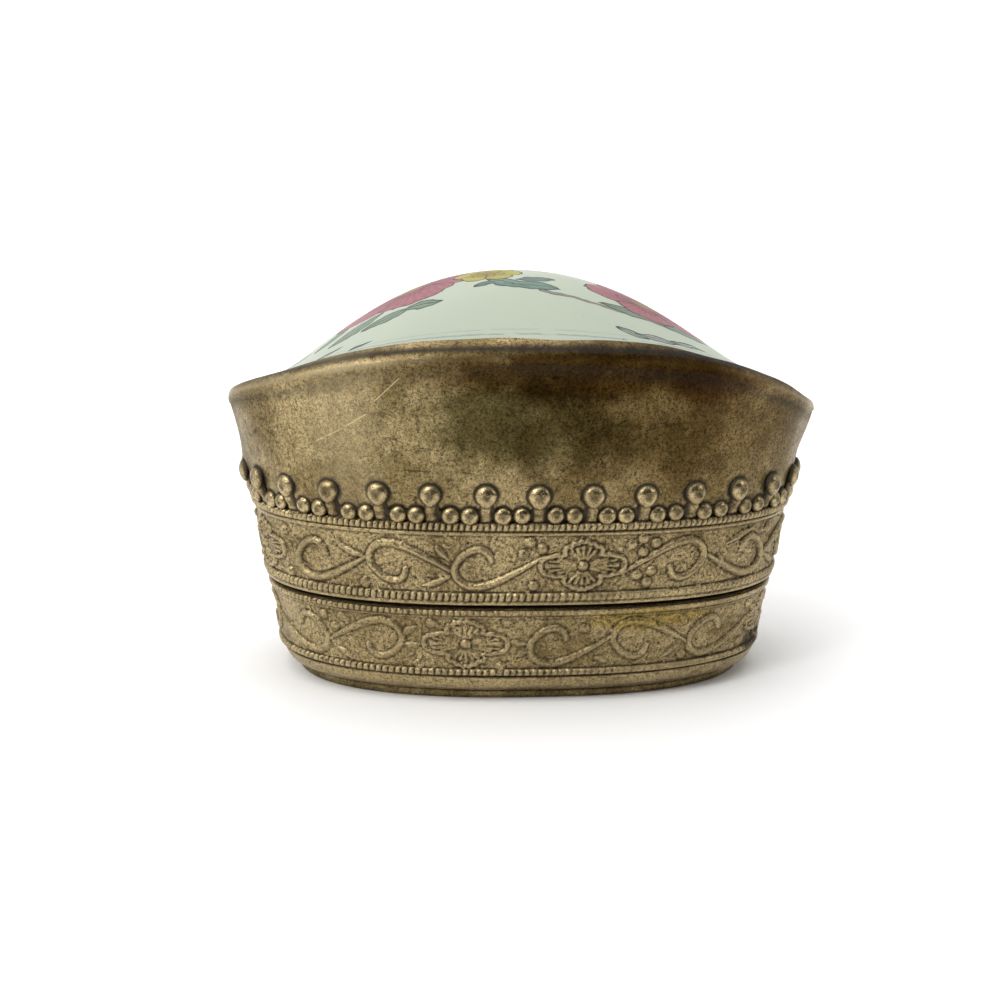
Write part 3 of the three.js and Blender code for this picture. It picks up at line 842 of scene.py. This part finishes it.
def smooth_path(points, widths, steps=4):
    """A curve through the points, with its widths."""
    points = np.column_stack([np.asarray(points, float), np.asarray(widths, float)])
    padded = np.vstack([2 * points[0] - points[1], points, 2 * points[-1] - points[-2]])
    out = []
    for a, b, c, d in zip(padded, padded[1:], padded[2:], padded[3:]):
        for t in np.arange(steps) / steps:
            out.append(0.5 * (
                2 * b + (c - a) * t + (2 * a - 5 * b + 4 * c - d) * t ** 2
                + (3 * b - a - 3 * c + d) * t ** 3
            ))
    out.append(points[-1])
    out = np.array(out)
    return out[:, :2], np.maximum(out[:, 2], 0.05)


def ornament_strokes(dots, leaves):
    """One repeat of the pattern round its head flower: strokes as path, widths, rise, and studs."""
    strokes, studs = [], [(x, y, 0.64, 0.5) for x, y in dots]
    for i in range(3):
        flip = 1 if i % 2 else -1
        for turned in (1, -1):
            path, widths = smooth_path(SCROLL, SCROLL_WIDTHS)
            path = (path * (1, flip) + (HEAD_GAP + i * SCROLL_PITCH, 0)) * turned
            path = path if turned == 1 else path + (PATTERN_LENGTH, 0)
            strokes.append((path, widths, 0.5))
    for points in leaves:
        widths = [0.36] * len(points)
        widths[len(points) // 2] = 0.46
        widths[0] = widths[-1] = 0.12
        strokes.append((*smooth_path(points, widths), 0.4))
    for centre in (0.0, PATTERN_LENGTH / 2):
        quarter = np.array(FLOWER_EDGE)
        half = np.vstack([quarter, (quarter * (-1, 1))[-2::-1]])
        edge = np.vstack([half, (half * (1, -1))[-2::-1]])
        strokes.append((edge + (centre, 0), np.full(len(edge), 0.3), 0.42))
        for vein in FLOWER_VEINS:
            for sign in ((1, 1), (-1, 1), (1, -1), (-1, -1)):
                strokes.append((np.array(vein) * sign + (centre, 0), np.array([0.2, 0.2]), 0.24))
        studs.append((centre, 0.0, 0.62, 0.62))
    return strokes, studs


def strip_relief(arcs, levels, strip, dots, leaves):
    """Height of a strip's relief over its plain field, in millimetres."""
    (foot, _), (top, _) = strip["field"]
    heights = levels - (foot + top) / 2
    relief = np.zeros((len(levels), len(arcs)))
    strokes, studs = ornament_strokes(dots, leaves)

    def raise_to(columns, rise):
        relief[:, columns] = np.maximum(relief[:, columns], rise)

    for repeat in range(-2, 3):
        shift = strip["head"] + repeat * PATTERN_LENGTH
        for path, widths, rise in strokes:
            raise_to(*ridge_height(arcs, heights, path + (shift, 0), widths, rise))
        for x, y, radius, rise in studs:
            raise_to(*stud_height(arcs, heights, x + shift, y, radius, rise))
    within = (levels > foot - 0.1) & (levels < top + 0.3)
    relief[~within] = 0
    relief *= strip["rise"]
    seed = strip["seed"]
    rng = np.random.default_rng(seed)
    pebble = blurred(rng.normal(size=relief.shape), 1)
    ground = strip["pebble"] * np.where(within, 1, 0.3)[:, None]
    relief += ground * pebble * (1 - np.clip(relief * 3, 0, 0.75))
    around = np.column_stack([np.cos(arcs / arcs[-1] * np.pi), np.sin(arcs / arcs[-1] * np.pi)])
    leftness = np.clip(-1.6 * around[:, 1], -1, 1)
    for k, (middle, half, rise, pitch, bite, uneven) in enumerate(strip["ropes"]):
        across = (levels - middle) / half
        dome = np.clip(1 - across ** 4, 0, 1)[:, None] ** 0.5
        depth = bite + uneven * leftness + 0.18 * swell(around, seed + k + 5, 1.3, 8)
        slant = arcs[None, :] - 0.2 * (levels - middle)[:, None]
        notch = (0.5 + 0.5 * np.cos(2 * np.pi * slant / pitch)) ** 2.5
        relief = np.maximum(relief, rise * dome * (1 - np.clip(depth, 0.03, 0.9)[None, :] * notch))
    for middle, half, rise in strip["ridges"]:
        across = (levels - middle) / half
        relief = np.maximum(relief, rise * np.clip(1 - across ** 2, 0, 1)[:, None] ** 0.5)
    return relief


def stamped(strip, dots, leaves):
    """Turns and levels of a strip's cells, and their relief."""
    (_, foot), (_, top) = strip["field"]
    arcs, turns = Girth((foot + top) / 2).evenly(strip["columns"])
    levels = np.linspace(strip["foot"], strip["top"], strip["rows"])
    return turns, levels, strip_relief(arcs, levels, strip, dots, leaves)


def crevice(relief, scale):
    """Where a strip's relief stands above its surroundings, up to 1, or lies below them, to -1."""
    near = blurred(relief, 1) * 0.4 + blurred(relief, 2) * 0.6
    return np.clip((relief - near) / scale, -1, 1)


def strip_rows(strip, relief, turns, levels):
    """Rings of a strip's face."""
    (foot, foot_width), (top, top_width) = strip["field"]
    slope = (top_width - foot_width) / (top - foot)
    ground = foot_width + (levels - foot) * slope
    rows = []
    for level, base, rise in zip(levels, ground, relief):
        place = oval(base + rise, turns)
        rows.append(np.column_stack([place, np.full(len(turns), level)]))
    return rows


def length_property(name, description, default):
    return bpy.props.FloatProperty(
        name=name, description=description, default=default, unit="LENGTH"
    )


def colour_property(name, description, default):
    return bpy.props.FloatVectorProperty(
        name=name, description=description, default=(*default, 1),
        subtype="COLOR", size=4, min=0, max=1,
    )


class TrinketSizes(bpy.types.PropertyGroup):
    """Sizes of the box that can be changed."""

    rim_half_width: length_property(
        "Rim half width", "Half of the box's width at the lid's rim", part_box("lid_frame")[1].x
    )
    crest_height: length_property(
        "Crest height", "Height of the porcelain's highest place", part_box("porcelain_panel")[1].z
    )
    sheet_thickness: length_property("Sheet thickness", "Thickness of the metal sheet", 0.0008)
    dent_depth: length_property("Dent depth", "Swell of the hand-worked plain metal", 0.00012)
    bead_pitch: length_property("Bead pitch", "From one large bead to the next", 0.00584)
    big_bead_radius: length_property("Large bead radius", "Radius of the large beads", 0.0013)
    small_bead_radius: length_property("Small bead radius", "Radius of the small beads", 0.00101)


class TrinketColours(bpy.types.PropertyGroup):
    """Colours of the box's metal, glaze and painting."""

    metal_light: colour_property("Light metal", "Metal where the film is thin", (0.39, 0.3, 0.152))
    metal_tarnish: colour_property("Tarnish", "Metal under a brown film", (0.19, 0.138, 0.058))
    # Rubbed wear on high places and scratches, and painted highlight on the relief, the rim's roll, the
    # beads and the wall's left.
    rubbed_and_highlight: colour_property("Rubbed metal", "High places", (0.72, 0.595, 0.37))
    # Pits, dark marks and tarnish in hollows, and painted shade under the rim's roll, round the beads
    # and next to the porcelain's lip.
    metal_dark: colour_property("Dark metal", "Pits and hollows", (0.032, 0.022, 0.01))
    # Green patina, darkened further as painted shade in the middle of the wall's front.
    green_patina_and_shade: colour_property("Green patina", "Stain on the front of the lid", (0.46, 0.5, 0.42))
    # Painted shade in brown under the rim and over the right of the wall.
    brown_shade: colour_property(
        "Brown patina", "Stain under the rim and to the right", (0.34, 0.265, 0.15)
    )
    # Painted reflection of a reddish surface under the rim on the right.
    painted_red_reflection: colour_property("Red patina", "Reddish stain under the rim", (0.85, 0.6, 0.45))
    stain_yellow: colour_property("Yellow stain", "Stain on the base's strip", (0.86, 0.8, 0.52))
    glaze: colour_property("Glaze", "Porcelain's pale green glaze", (0.385, 0.435, 0.36))
    glaze_warm: colour_property("Warm glaze", "Where the glaze turns warmer", (0.42, 0.45, 0.36))
    pink_pale: colour_property("Pale pink", "Outer petals", (0.3, 0.125, 0.14))
    pink_deep: colour_property("Deep pink", "Inner petals and streaks", (0.16, 0.03, 0.045))
    yellow: colour_property("Yellow", "Yellow petals", (0.36, 0.33, 0.07))
    ochre: colour_property("Ochre", "Streaks and centres of flowers", (0.2, 0.14, 0.03))
    violet: colour_property("Violet", "The far flower", (0.2, 0.13, 0.17))
    leaf_teal: colour_property("Teal leaves", "Leaves beside the yellow flower", (0.075, 0.145, 0.12))
    leaf_grey: colour_property("Grey leaves", "Leaves under the pink flowers", (0.115, 0.17, 0.12))
    leaf_pale: colour_property("Pale leaves", "Small leaves near the rim", (0.27, 0.3, 0.27))
    twig: colour_property("Twigs", "Twigs between flowers", (0.19, 0.17, 0.14))
    outline: colour_property("Outline", "Dark brush lines", (0.022, 0.02, 0.024))
    line_blue: colour_property("Rim line", "Faint lines beside the rim", (0.16, 0.19, 0.2))


class TRINKET_OT_base_plate(bpy.types.Operator):
    """Add the flat bottom plate"""

    bl_idname = "trinket.base_plate"
    bl_label = "Bottom Plate"

    def execute(self, context):
        form = BoxForm(context.scene.trinket_sizes)
        _, turns = Girth(PLATE_HALF_WIDTH).evenly(PLATE_COLUMNS)
        middle = np.zeros((len(turns), 3))
        under = [form.level(width, 0, turns) for width in (11, 20, 26)]
        edge = [form.level(width, height, turns) for width, height in PLATE_EDGE]
        upper = [form.level(width, PLATE_THICKNESS, turns) for width in (27, 18, 11)]
        points = np.stack([middle, *under, *edge, *upper, middle + (0, 0, PLATE_THICKNESS)])
        relief = np.zeros(points.shape[:2])
        side = 1 + len(under)
        relief[side + 2:side + len(edge)] = -0.15
        plate = rolled_sheet("bottom_plate", points, {"relief": relief})
        metal = tarnished_shaded_metal("plate_metal", context.scene.trinket_colours, tarnish=0.08)
        dress(plate, metal, "base_plate")
        return {"FINISHED"}


class TRINKET_OT_base_wall(bpy.types.Operator):
    """Add the base's wall with its plain foot and the collar inside the lid"""

    bl_idname = "trinket.base_wall"
    bl_label = "Base Wall"

    def execute(self, context):
        form = BoxForm(context.scene.trinket_sizes)
        _, turns = Girth(WALL_HALF_WIDTH).evenly(WALL_COLUMNS)
        corners = [form.level(width, height, turns) for width, height, _ in WALL_PROFILE]
        rows = rounded(corners, [radius for *_, radius in WALL_PROFILE])
        rows = filled([*rows, rows[0]], lambda low, high: 0.4 if max(low, high) < 3.4 else 1.6)
        points = np.stack(rows)
        shift = form.dent * swell(points, 21, 14)
        outward = points[..., :2] / np.linalg.norm(points[..., :2], axis=-1, keepdims=True)
        face = np.linalg.norm(oval(WALL_FACE_FROM, turns), axis=-1)
        outer = np.linalg.norm(points[..., :2], axis=-1) > face
        points[..., :2] += outward * (shift * outer)[..., None]
        height = points[..., 2]
        relief = 0.25 * bell(height, 2.2, 0.6)
        relief -= 0.3 * bell(height, 1.0, 0.12) + 0.9 * bell(height, 3.25, 0.14)
        colours = context.scene.trinket_colours
        wall = rolled_sheet("base_body", points, {"relief": relief * outer})
        metal = tarnished_shaded_metal("base_metal", colours, base_marks(colours), 1.0, -0.06)
        dress(wall, metal, "base_wall")
        return {"FINISHED"}


class TRINKET_OT_base_strip(bpy.types.Operator):
    """Add the stamped strip round the base"""

    bl_idname = "trinket.base_strip"
    bl_label = "Base Strip"

    def execute(self, context):
        turns, levels, relief = stamped(BASE_STRIP, BASE_DOTS, BASE_LEAVES)
        tuck = (levels - levels[0] < 0.15) | (levels[-1] - levels < 0.12)
        relief = np.where(tuck[:, None], relief * 0.5, relief)
        relief[:, -1] = relief[:, 0]
        rows = strip_rows(BASE_STRIP, relief, turns, levels)
        form = BoxForm(context.scene.trinket_sizes)
        inner = WALL_HALF_WIDTH + GAP
        back = [form.level(inner, level, turns) for level in (levels[-1], levels[0])]
        points = np.stack([*rows, *back, rows[0]])
        shade = crevice(relief, 0.1)
        flat = np.zeros((1, len(turns)))
        # Hollows of the face go dark and high places bright; the strip's back, against the wall, is
        # painted dark as shade.
        layer = np.concatenate([shade, flat - 0.6, flat - 0.6, shade[:1]])
        colours = context.scene.trinket_colours
        strip = rolled_sheet("base_strip", points, {"relief": layer})
        metal = tarnished_shaded_metal("base_strip_metal", colours, base_marks(colours), 1.4)
        dress(strip, metal, "base_band")
        return {"FINISHED"}


class TRINKET_OT_lid_shell(bpy.types.Operator):
    """Add the lid's metal shell: skirt, flared wall, rolled rim and the ledge under the porcelain"""

    bl_idname = "trinket.lid_shell"
    bl_label = "Lid Shell"

    def execute(self, context):
        sizes = context.scene.trinket_sizes
        form = BoxForm(sizes)
        _, turns = Girth(SKIRT["flare"][1]).evenly(SHELL_COLUMNS)
        level = form.level
        skirt = list(SKIRT.values())
        corners = [
            (level(width, height, turns), radius)
            for (height, width), radius in zip(skirt, (0.1, 0.6, 1.2, 1.8))
        ]
        corners += [(form.on_flare(part, turns), 0) for part in np.linspace(0.12, 0.94, 12)]
        corners += [(form.on_top(width, 1, rise, turns), radius) for width, rise, radius in RIM_ROLL]
        corners += [
            (form.on_ledge(0, 0, turns), 0),
            (form.on_ledge(1, 0, turns), 0.15),
            (form.on_ledge(1, form.sheet, turns), 0.15),
            (form.on_ledge(0, form.sheet, turns), 0),
        ]
        corners += [
            (level(width - form.sheet, height, turns), radius)
            for (height, width), radius in zip((skirt[3], skirt[1], skirt[0]), (1.2, 0.6, 0.1))
        ]
        rows = rounded([row for row, _ in corners], [radius for _, radius in corners], 5)
        bead_zone = (22.0, 26.4)

        def longest(low, high):
            return 0.24 if bead_zone[0] < low < bead_zone[1] and high > low else 1.5

        rows = filled([*rows, rows[0]], longest)
        points = np.stack(rows)
        reach = np.linalg.norm(points[..., :2], axis=-1)
        outward = points[..., :2] / reach[..., None]
        height = points[..., 2]
        peak = int(np.argmax(height[:, SHELL_COLUMNS // 2]))
        outer = np.zeros(len(points))
        outer[:peak + 1] = 1
        swing = form.dent * (swell(points, 11, 16) + 0.5 * swell(points, 12, 7))
        points[..., :2] += outward * (swing * outer[:, None] * (height > 22))[..., None]
        wave = 0.12 * swell(points, 13, 11)
        points[..., 2] += wave * np.clip((height - 30) / 6, 0, 1)
        # Painted shade: dark round each bead and along the wall below the beads.
        clear = np.full(height.shape, 9.0)
        low = np.nonzero((height.max(axis=1) < 27.5) & (outer > 0))[0]
        for middle, _, _, radius, _ in fringe_beads(sizes):
            apart = np.linalg.norm(points[low] - middle, axis=-1) - radius
            clear[low] = np.minimum(clear[low], apart)
        bead_shade = bell(clear.clip(0), 0, 0.17)
        bead_shade = np.maximum(bead_shade, np.clip((23.2 - height) / 0.5, 0, 1))
        # Painted highlight along the rim's roll, as well as rubbed wear, strongest towards the ends;
        # painted shadow under the roll and on the lip.
        below_edge = form.top(oval(form.rim, turns))[None, :] - height
        wear_and_sheen_strength = np.clip(0.3 + np.abs(points[..., 0]) / 22 + 0.3 * swell(points, 15, 5), 0.15, 1)
        ridge_wear_and_sheen = bell(below_edge, 0.6, 0.36) * wear_and_sheen_strength
        shadow = 0.5 * bell(below_edge, 1.9, 0.5) + 0.85 * bell(below_edge, -0.35, 0.35)
        relief = (ridge_wear_and_sheen - bead_shade - shadow) * outer[:, None]
        colours = context.scene.trinket_colours
        shell = rolled_sheet("lid_shell", points, {"relief": relief})
        metal = tarnished_shaded_metal("lid_metal", colours, wall_marks(colours), 0.8, 0.07)
        dress(shell, metal, "lid_frame")
        return {"FINISHED"}


class TRINKET_OT_lid_strip(bpy.types.Operator):
    """Add the stamped strip round the lid's skirt, with the sheet and stems behind the beads"""

    bl_idname = "trinket.lid_strip"
    bl_label = "Lid Strip"

    def execute(self, context):
        sizes = context.scene.trinket_sizes
        turns, levels, relief = stamped(LID_STRIP, LID_DOTS, LID_LEAVES)
        relief[0] *= 0.4
        rows = strip_rows(LID_STRIP, relief, turns, levels)
        big_beads = [bead for bead in fringe_beads(sizes) if bead[-1]]
        beside = beside_beads(oval(lid_half_width(BIG_BEAD_HEIGHT), turns), big_beads)
        crown = np.where(beside < 0.75, 24.4, 22.9)
        layers = [crevice(relief, 0.1)]
        for part in np.linspace(0.12, 1, 8):
            level = LID_STRIP["top"] + (crown - LID_STRIP["top"]) * part
            from_bead = beside_beads(oval(lid_half_width(level), turns), big_beads)
            stem = np.clip(1 - (from_bead / 0.6) ** 2, 0, 1) ** 0.5
            rib = 0.8 + 0.2 * np.cos(2 * np.pi * level / 0.5)
            half_width = lid_half_width(level) + 0.16 + 0.5 * stem * rib
            rows.append(np.column_stack([oval(half_width, turns), level]))
            # Painted shade: the sheet behind the beads is dark between the stems and lighter on them.
            layers.append((-1 + 1.25 * stem * rib)[None, :])
        inner = lid_half_width(crown) + 0.06
        rows.append(np.column_stack([oval(inner, turns), crown]))
        for level in (LID_STRIP["top"], LID_STRIP["foot"]):
            width = lid_half_width(level) + 0.06
            rows.append(np.column_stack([oval(width, turns), np.full(len(turns), level)]))
        # Painted shade on the strip's inner faces.
        layers.append(np.full((3, len(turns)), -0.8))
        points = np.stack([*rows, rows[0]])
        points[:, -1] = points[:, 0]
        layer = np.concatenate([*layers, layers[0][:1]])
        colours = context.scene.trinket_colours
        strip = rolled_sheet("lid_strip", points, {"relief": layer})
        metal = tarnished_shaded_metal("lid_strip_metal", colours, None, 1.4)
        dress(strip, metal, "lid_band")
        return {"FINISHED"}


class TRINKET_OT_bead_fringe(bpy.types.Operator):
    """Add the fringe of large and small beads"""

    bl_idname = "trinket.bead_fringe"
    bl_label = "Bead Fringe"

    def execute(self, context):
        deselect()
        bpy.ops.mesh.primitive_uv_sphere_add(segments=20, ring_count=14, radius=1, calc_uvs=False)
        pattern = bpy.context.active_object
        ball = read_points(pattern.data)
        # Painted light on each bead's face: a dark middle as a painted reflection, a bright ring as a
        # painted highlight and a dark edge as painted shade; the back is dark.
        off_axis = np.hypot(ball[:, 0], ball[:, 1] + 0.1)
        face = np.interp(off_axis, (0.15, 0.4, 0.62, 0.82, 0.96), (-0.62, -0.1, 0.75, 0.2, -1))
        face = np.where(ball[:, 2] > 0, face, -1)
        beads = []
        for middle, along, out, radius, pear in fringe_beads(context.scene.trinket_sizes):
            narrow = np.clip(-ball[:, 1], 0, 1) * pear
            x = ball[:, 0] * (1 - 0.3 * narrow ** 2)
            y = ball[:, 1] * (1 + 0.18 * narrow)
            z = ball[:, 2] * np.where(ball[:, 2] > 0, 0.66, 0.1)
            shape = np.outer(x, along) + np.outer(y, (0, 0, 1)) + np.outer(z, out)
            bead = pattern.copy()
            bead.data = pattern.data.copy()
            context.collection.objects.link(bead)
            write_points(bead.data, (middle + out * 0.14 + shape * radius) * MM)
            layer = bead.data.attributes.new("relief", "FLOAT", "POINT")
            layer.data.foreach_set("value", face.astype(np.float32))
            beads.append(bead)
        bpy.data.objects.remove(pattern)
        deselect()
        for bead in beads:
            bead.select_set(True)
        context.view_layer.objects.active = beads[0]
        bpy.ops.object.join()
        fringe = context.view_layer.objects.active
        fringe.name = "bead_fringe"
        fringe.data.name = "bead_fringe"
        weld(fringe)
        bpy.ops.object.shade_smooth()
        metal = tarnished_shaded_metal("bead_metal", context.scene.trinket_colours, None, 0.6, 0.0, 0.1)
        dress(fringe, metal, "lid_band")
        return {"FINISHED"}


class TRINKET_OT_porcelain(bpy.types.Operator):
    """Add the painted porcelain panel"""

    bl_idname = "trinket.porcelain"
    bl_label = "Porcelain Panel"

    def execute(self, context):
        form = BoxForm(context.scene.trinket_sizes)
        _, turns = Girth(LIP_HALF_WIDTH).evenly(PANEL_COLUMNS)
        scales = np.concatenate([np.linspace(0, 0.97, 66), [0.98, 0.988]])
        rows = [form.on_top(PANEL_HALF_WIDTH, scale, 0, turns) for scale in scales]
        rows += [
            form.on_top(PANEL_HALF_WIDTH, 0.996, -0.08, turns),
            form.on_top(PANEL_HALF_WIDTH, 1, -0.35, turns),
            form.on_top(PANEL_HALF_WIDTH, 1, -0.75, turns),
            form.on_top(PANEL_UNDER_HALF_WIDTH, 1, -PANEL_UNDER_EDGE, turns),
        ]
        under = np.linspace(0.97, 0, 30)
        rim = np.concatenate([scales, np.ones(len(rows) - len(scales)), np.zeros(len(under))])
        rows += [
            form.on_top(PANEL_UNDER_HALF_WIDTH, scale, -PANEL_THICKNESS, turns) for scale in under
        ]
        points = np.stack(rows)
        # Dirt and painted shade in a band next to the lip.
        grime = np.zeros(points.shape[:2]) + np.clip((rim - 0.972) / 0.014, 0, 1)[:, None]
        edge = (1 - rim)[:, None] * np.linalg.norm(oval(PANEL_HALF_WIDTH, turns), axis=1)
        panel = rolled_sheet("porcelain_top", points, {"grime": grime, "edge": edge})
        colours = context.scene.trinket_colours
        dress(panel, painted_porcelain(colours), "porcelain_panel")
        return {"FINISHED"}


class TRINKET_OT_stage(bpy.types.Operator):
    """Add the pale floor, the soft lights and the camera"""

    bl_idname = "trinket.stage"
    bl_label = "Stage"

    def execute(self, context):
        deselect()
        bpy.ops.mesh.primitive_plane_add(size=2.4, location=(0, 0, 0))
        floor = context.active_object
        floor.name = "floor_sweep"
        bpy.ops.object.mode_set(mode="EDIT")
        bpy.ops.mesh.select_all(action="DESELECT")
        bpy.ops.object.mode_set(mode="OBJECT")
        for edge in floor.data.edges:
            edge.select = all(floor.data.vertices[v].co.y > 1 for v in edge.vertices)
        bpy.ops.object.mode_set(mode="EDIT")
        bpy.ops.mesh.select_mode(type="EDGE")
        bpy.ops.mesh.extrude_region_move(TRANSFORM_OT_translate={"value": (0, 0, 1.4)})
        bpy.ops.object.mode_set(mode="OBJECT")
        for edge in floor.data.edges:
            places = [floor.data.vertices[v].co for v in edge.vertices]
            edge.select = all(p.y > 1 and p.z < 0.1 for p in places)
        bpy.ops.object.mode_set(mode="EDIT")
        bpy.ops.mesh.bevel(offset=0.6, segments=16)
        bpy.ops.object.mode_set(mode="OBJECT")
        bpy.ops.object.shade_smooth()
        paper = Paint("pale_paper")
        weave = paper.noise(paper.place(), 60.0, 3.0)
        shade = paper.mix(weave, (0.93, 0.93, 0.93, 1), (0.95, 0.95, 0.95, 1))
        sheet = paper.surface({"Base Color": shade, "Roughness": 0.9})
        floor.data.materials.append(paper.finish(sheet))
        self.lights(context)
        self.camera(context)
        return {"FINISHED"}

    def lights(self, context):
        world = bpy.data.worlds.new("studio")
        context.scene.world = world
        world.use_nodes = True
        nodes, links = world.node_tree.nodes, world.node_tree.links
        nodes.clear()
        where = nodes.new("ShaderNodeTexCoord")
        turned = nodes.new("ShaderNodeVectorMath")
        turned.operation = "DOT_PRODUCT"
        turned.inputs[1].default_value = (-0.35, 1, 0)
        links.new(where.outputs["Generated"], turned.inputs[0])
        ramp = nodes.new("ShaderNodeMapRange")
        ramp.interpolation_type = "SMOOTHSTEP"
        links.new(turned.outputs["Value"], ramp.inputs["Value"])
        for index, value in ((1, -1.0), (2, 0.1), (3, 0.05), (4, 0.75)):
            ramp.inputs[index].default_value = value
        back = nodes.new("ShaderNodeBackground")
        back.inputs["Color"].default_value = (1, 1, 1, 1)
        links.new(ramp.outputs[0], back.inputs["Strength"])
        output = nodes.new("ShaderNodeOutputWorld")
        links.new(back.outputs[0], output.inputs["Surface"])
        for name, place, target, size, power in LAMPS:
            bpy.ops.object.light_add(type="AREA", location=place)
            lamp = context.active_object
            lamp.name = name
            lamp.data.shape = "SQUARE"
            lamp.data.size = size
            lamp.data.energy = power
            way = Vector(target) - Vector(place)
            lamp.rotation_euler = way.to_track_quat("-Z", "Y").to_euler()

    def camera(self, context):
        lift, swing, roll = CAMERA_LIFT, CAMERA_SWING, CAMERA_ROLL
        target = Vector(CAMERA_TARGET)
        forward = Vector((
            math.cos(lift) * math.sin(swing), math.cos(lift) * math.cos(swing), -math.sin(lift)
        ))
        right = Vector((math.cos(swing), -math.sin(swing), 0))
        up = right.cross(forward)
        turned_right = right * math.cos(roll) + up * math.sin(roll)
        turned_up = up * math.cos(roll) - right * math.sin(roll)
        bpy.ops.object.camera_add()
        camera = context.active_object
        turn = Matrix((turned_right, turned_up, -forward)).transposed()
        place = target - forward * CAMERA_DISTANCE
        camera.matrix_world = Matrix.Translation(place) @ turn.to_4x4()
        camera.data.sensor_width = 36
        camera.data.lens = 45.88
        camera.data.shift_x = -0.02
        camera.data.shift_y = 0.033
        camera.data.clip_start = 0.01
        context.scene.camera = camera
        context.scene.view_settings.view_transform = "Standard"


OPERATORS = (
    TRINKET_OT_base_plate,
    TRINKET_OT_base_wall,
    TRINKET_OT_base_strip,
    TRINKET_OT_lid_shell,
    TRINKET_OT_lid_strip,
    TRINKET_OT_bead_fringe,
    TRINKET_OT_porcelain,
    TRINKET_OT_stage,
)


class TRINKET_PT_panel(bpy.types.Panel):
    """Lists the box's pieces, sizes and colours"""

    bl_label = "Trinket Box"
    bl_space_type = "VIEW_3D"
    bl_region_type = "UI"
    bl_category = "Trinket Box"

    def draw(self, context):
        for group in (context.scene.trinket_sizes, context.scene.trinket_colours):
            for key in group.__annotations__:
                self.layout.prop(group, key)
        for operator in OPERATORS:
            self.layout.operator(operator.bl_idname)


CLASSES = (TrinketSizes, TrinketColours, *OPERATORS, TRINKET_PT_panel)


def register():
    for cls in CLASSES:
        bpy.utils.register_class(cls)
    bpy.types.Scene.trinket_sizes = bpy.props.PointerProperty(type=TrinketSizes)
    bpy.types.Scene.trinket_colours = bpy.props.PointerProperty(type=TrinketColours)


def unregister():
    del bpy.types.Scene.trinket_colours
    del bpy.types.Scene.trinket_sizes
    for cls in reversed(CLASSES):
        bpy.utils.unregister_class(cls)


def main():
    register()
    bpy.ops.trinket.base_plate()
    bpy.ops.trinket.base_wall()
    bpy.ops.trinket.base_strip()
    bpy.ops.trinket.lid_shell()
    bpy.ops.trinket.lid_strip()
    bpy.ops.trinket.bead_fringe()
    bpy.ops.trinket.porcelain()
    bpy.ops.trinket.stage()
    bpy.context.view_layer.update()


if __name__ == "__main__":
    main()
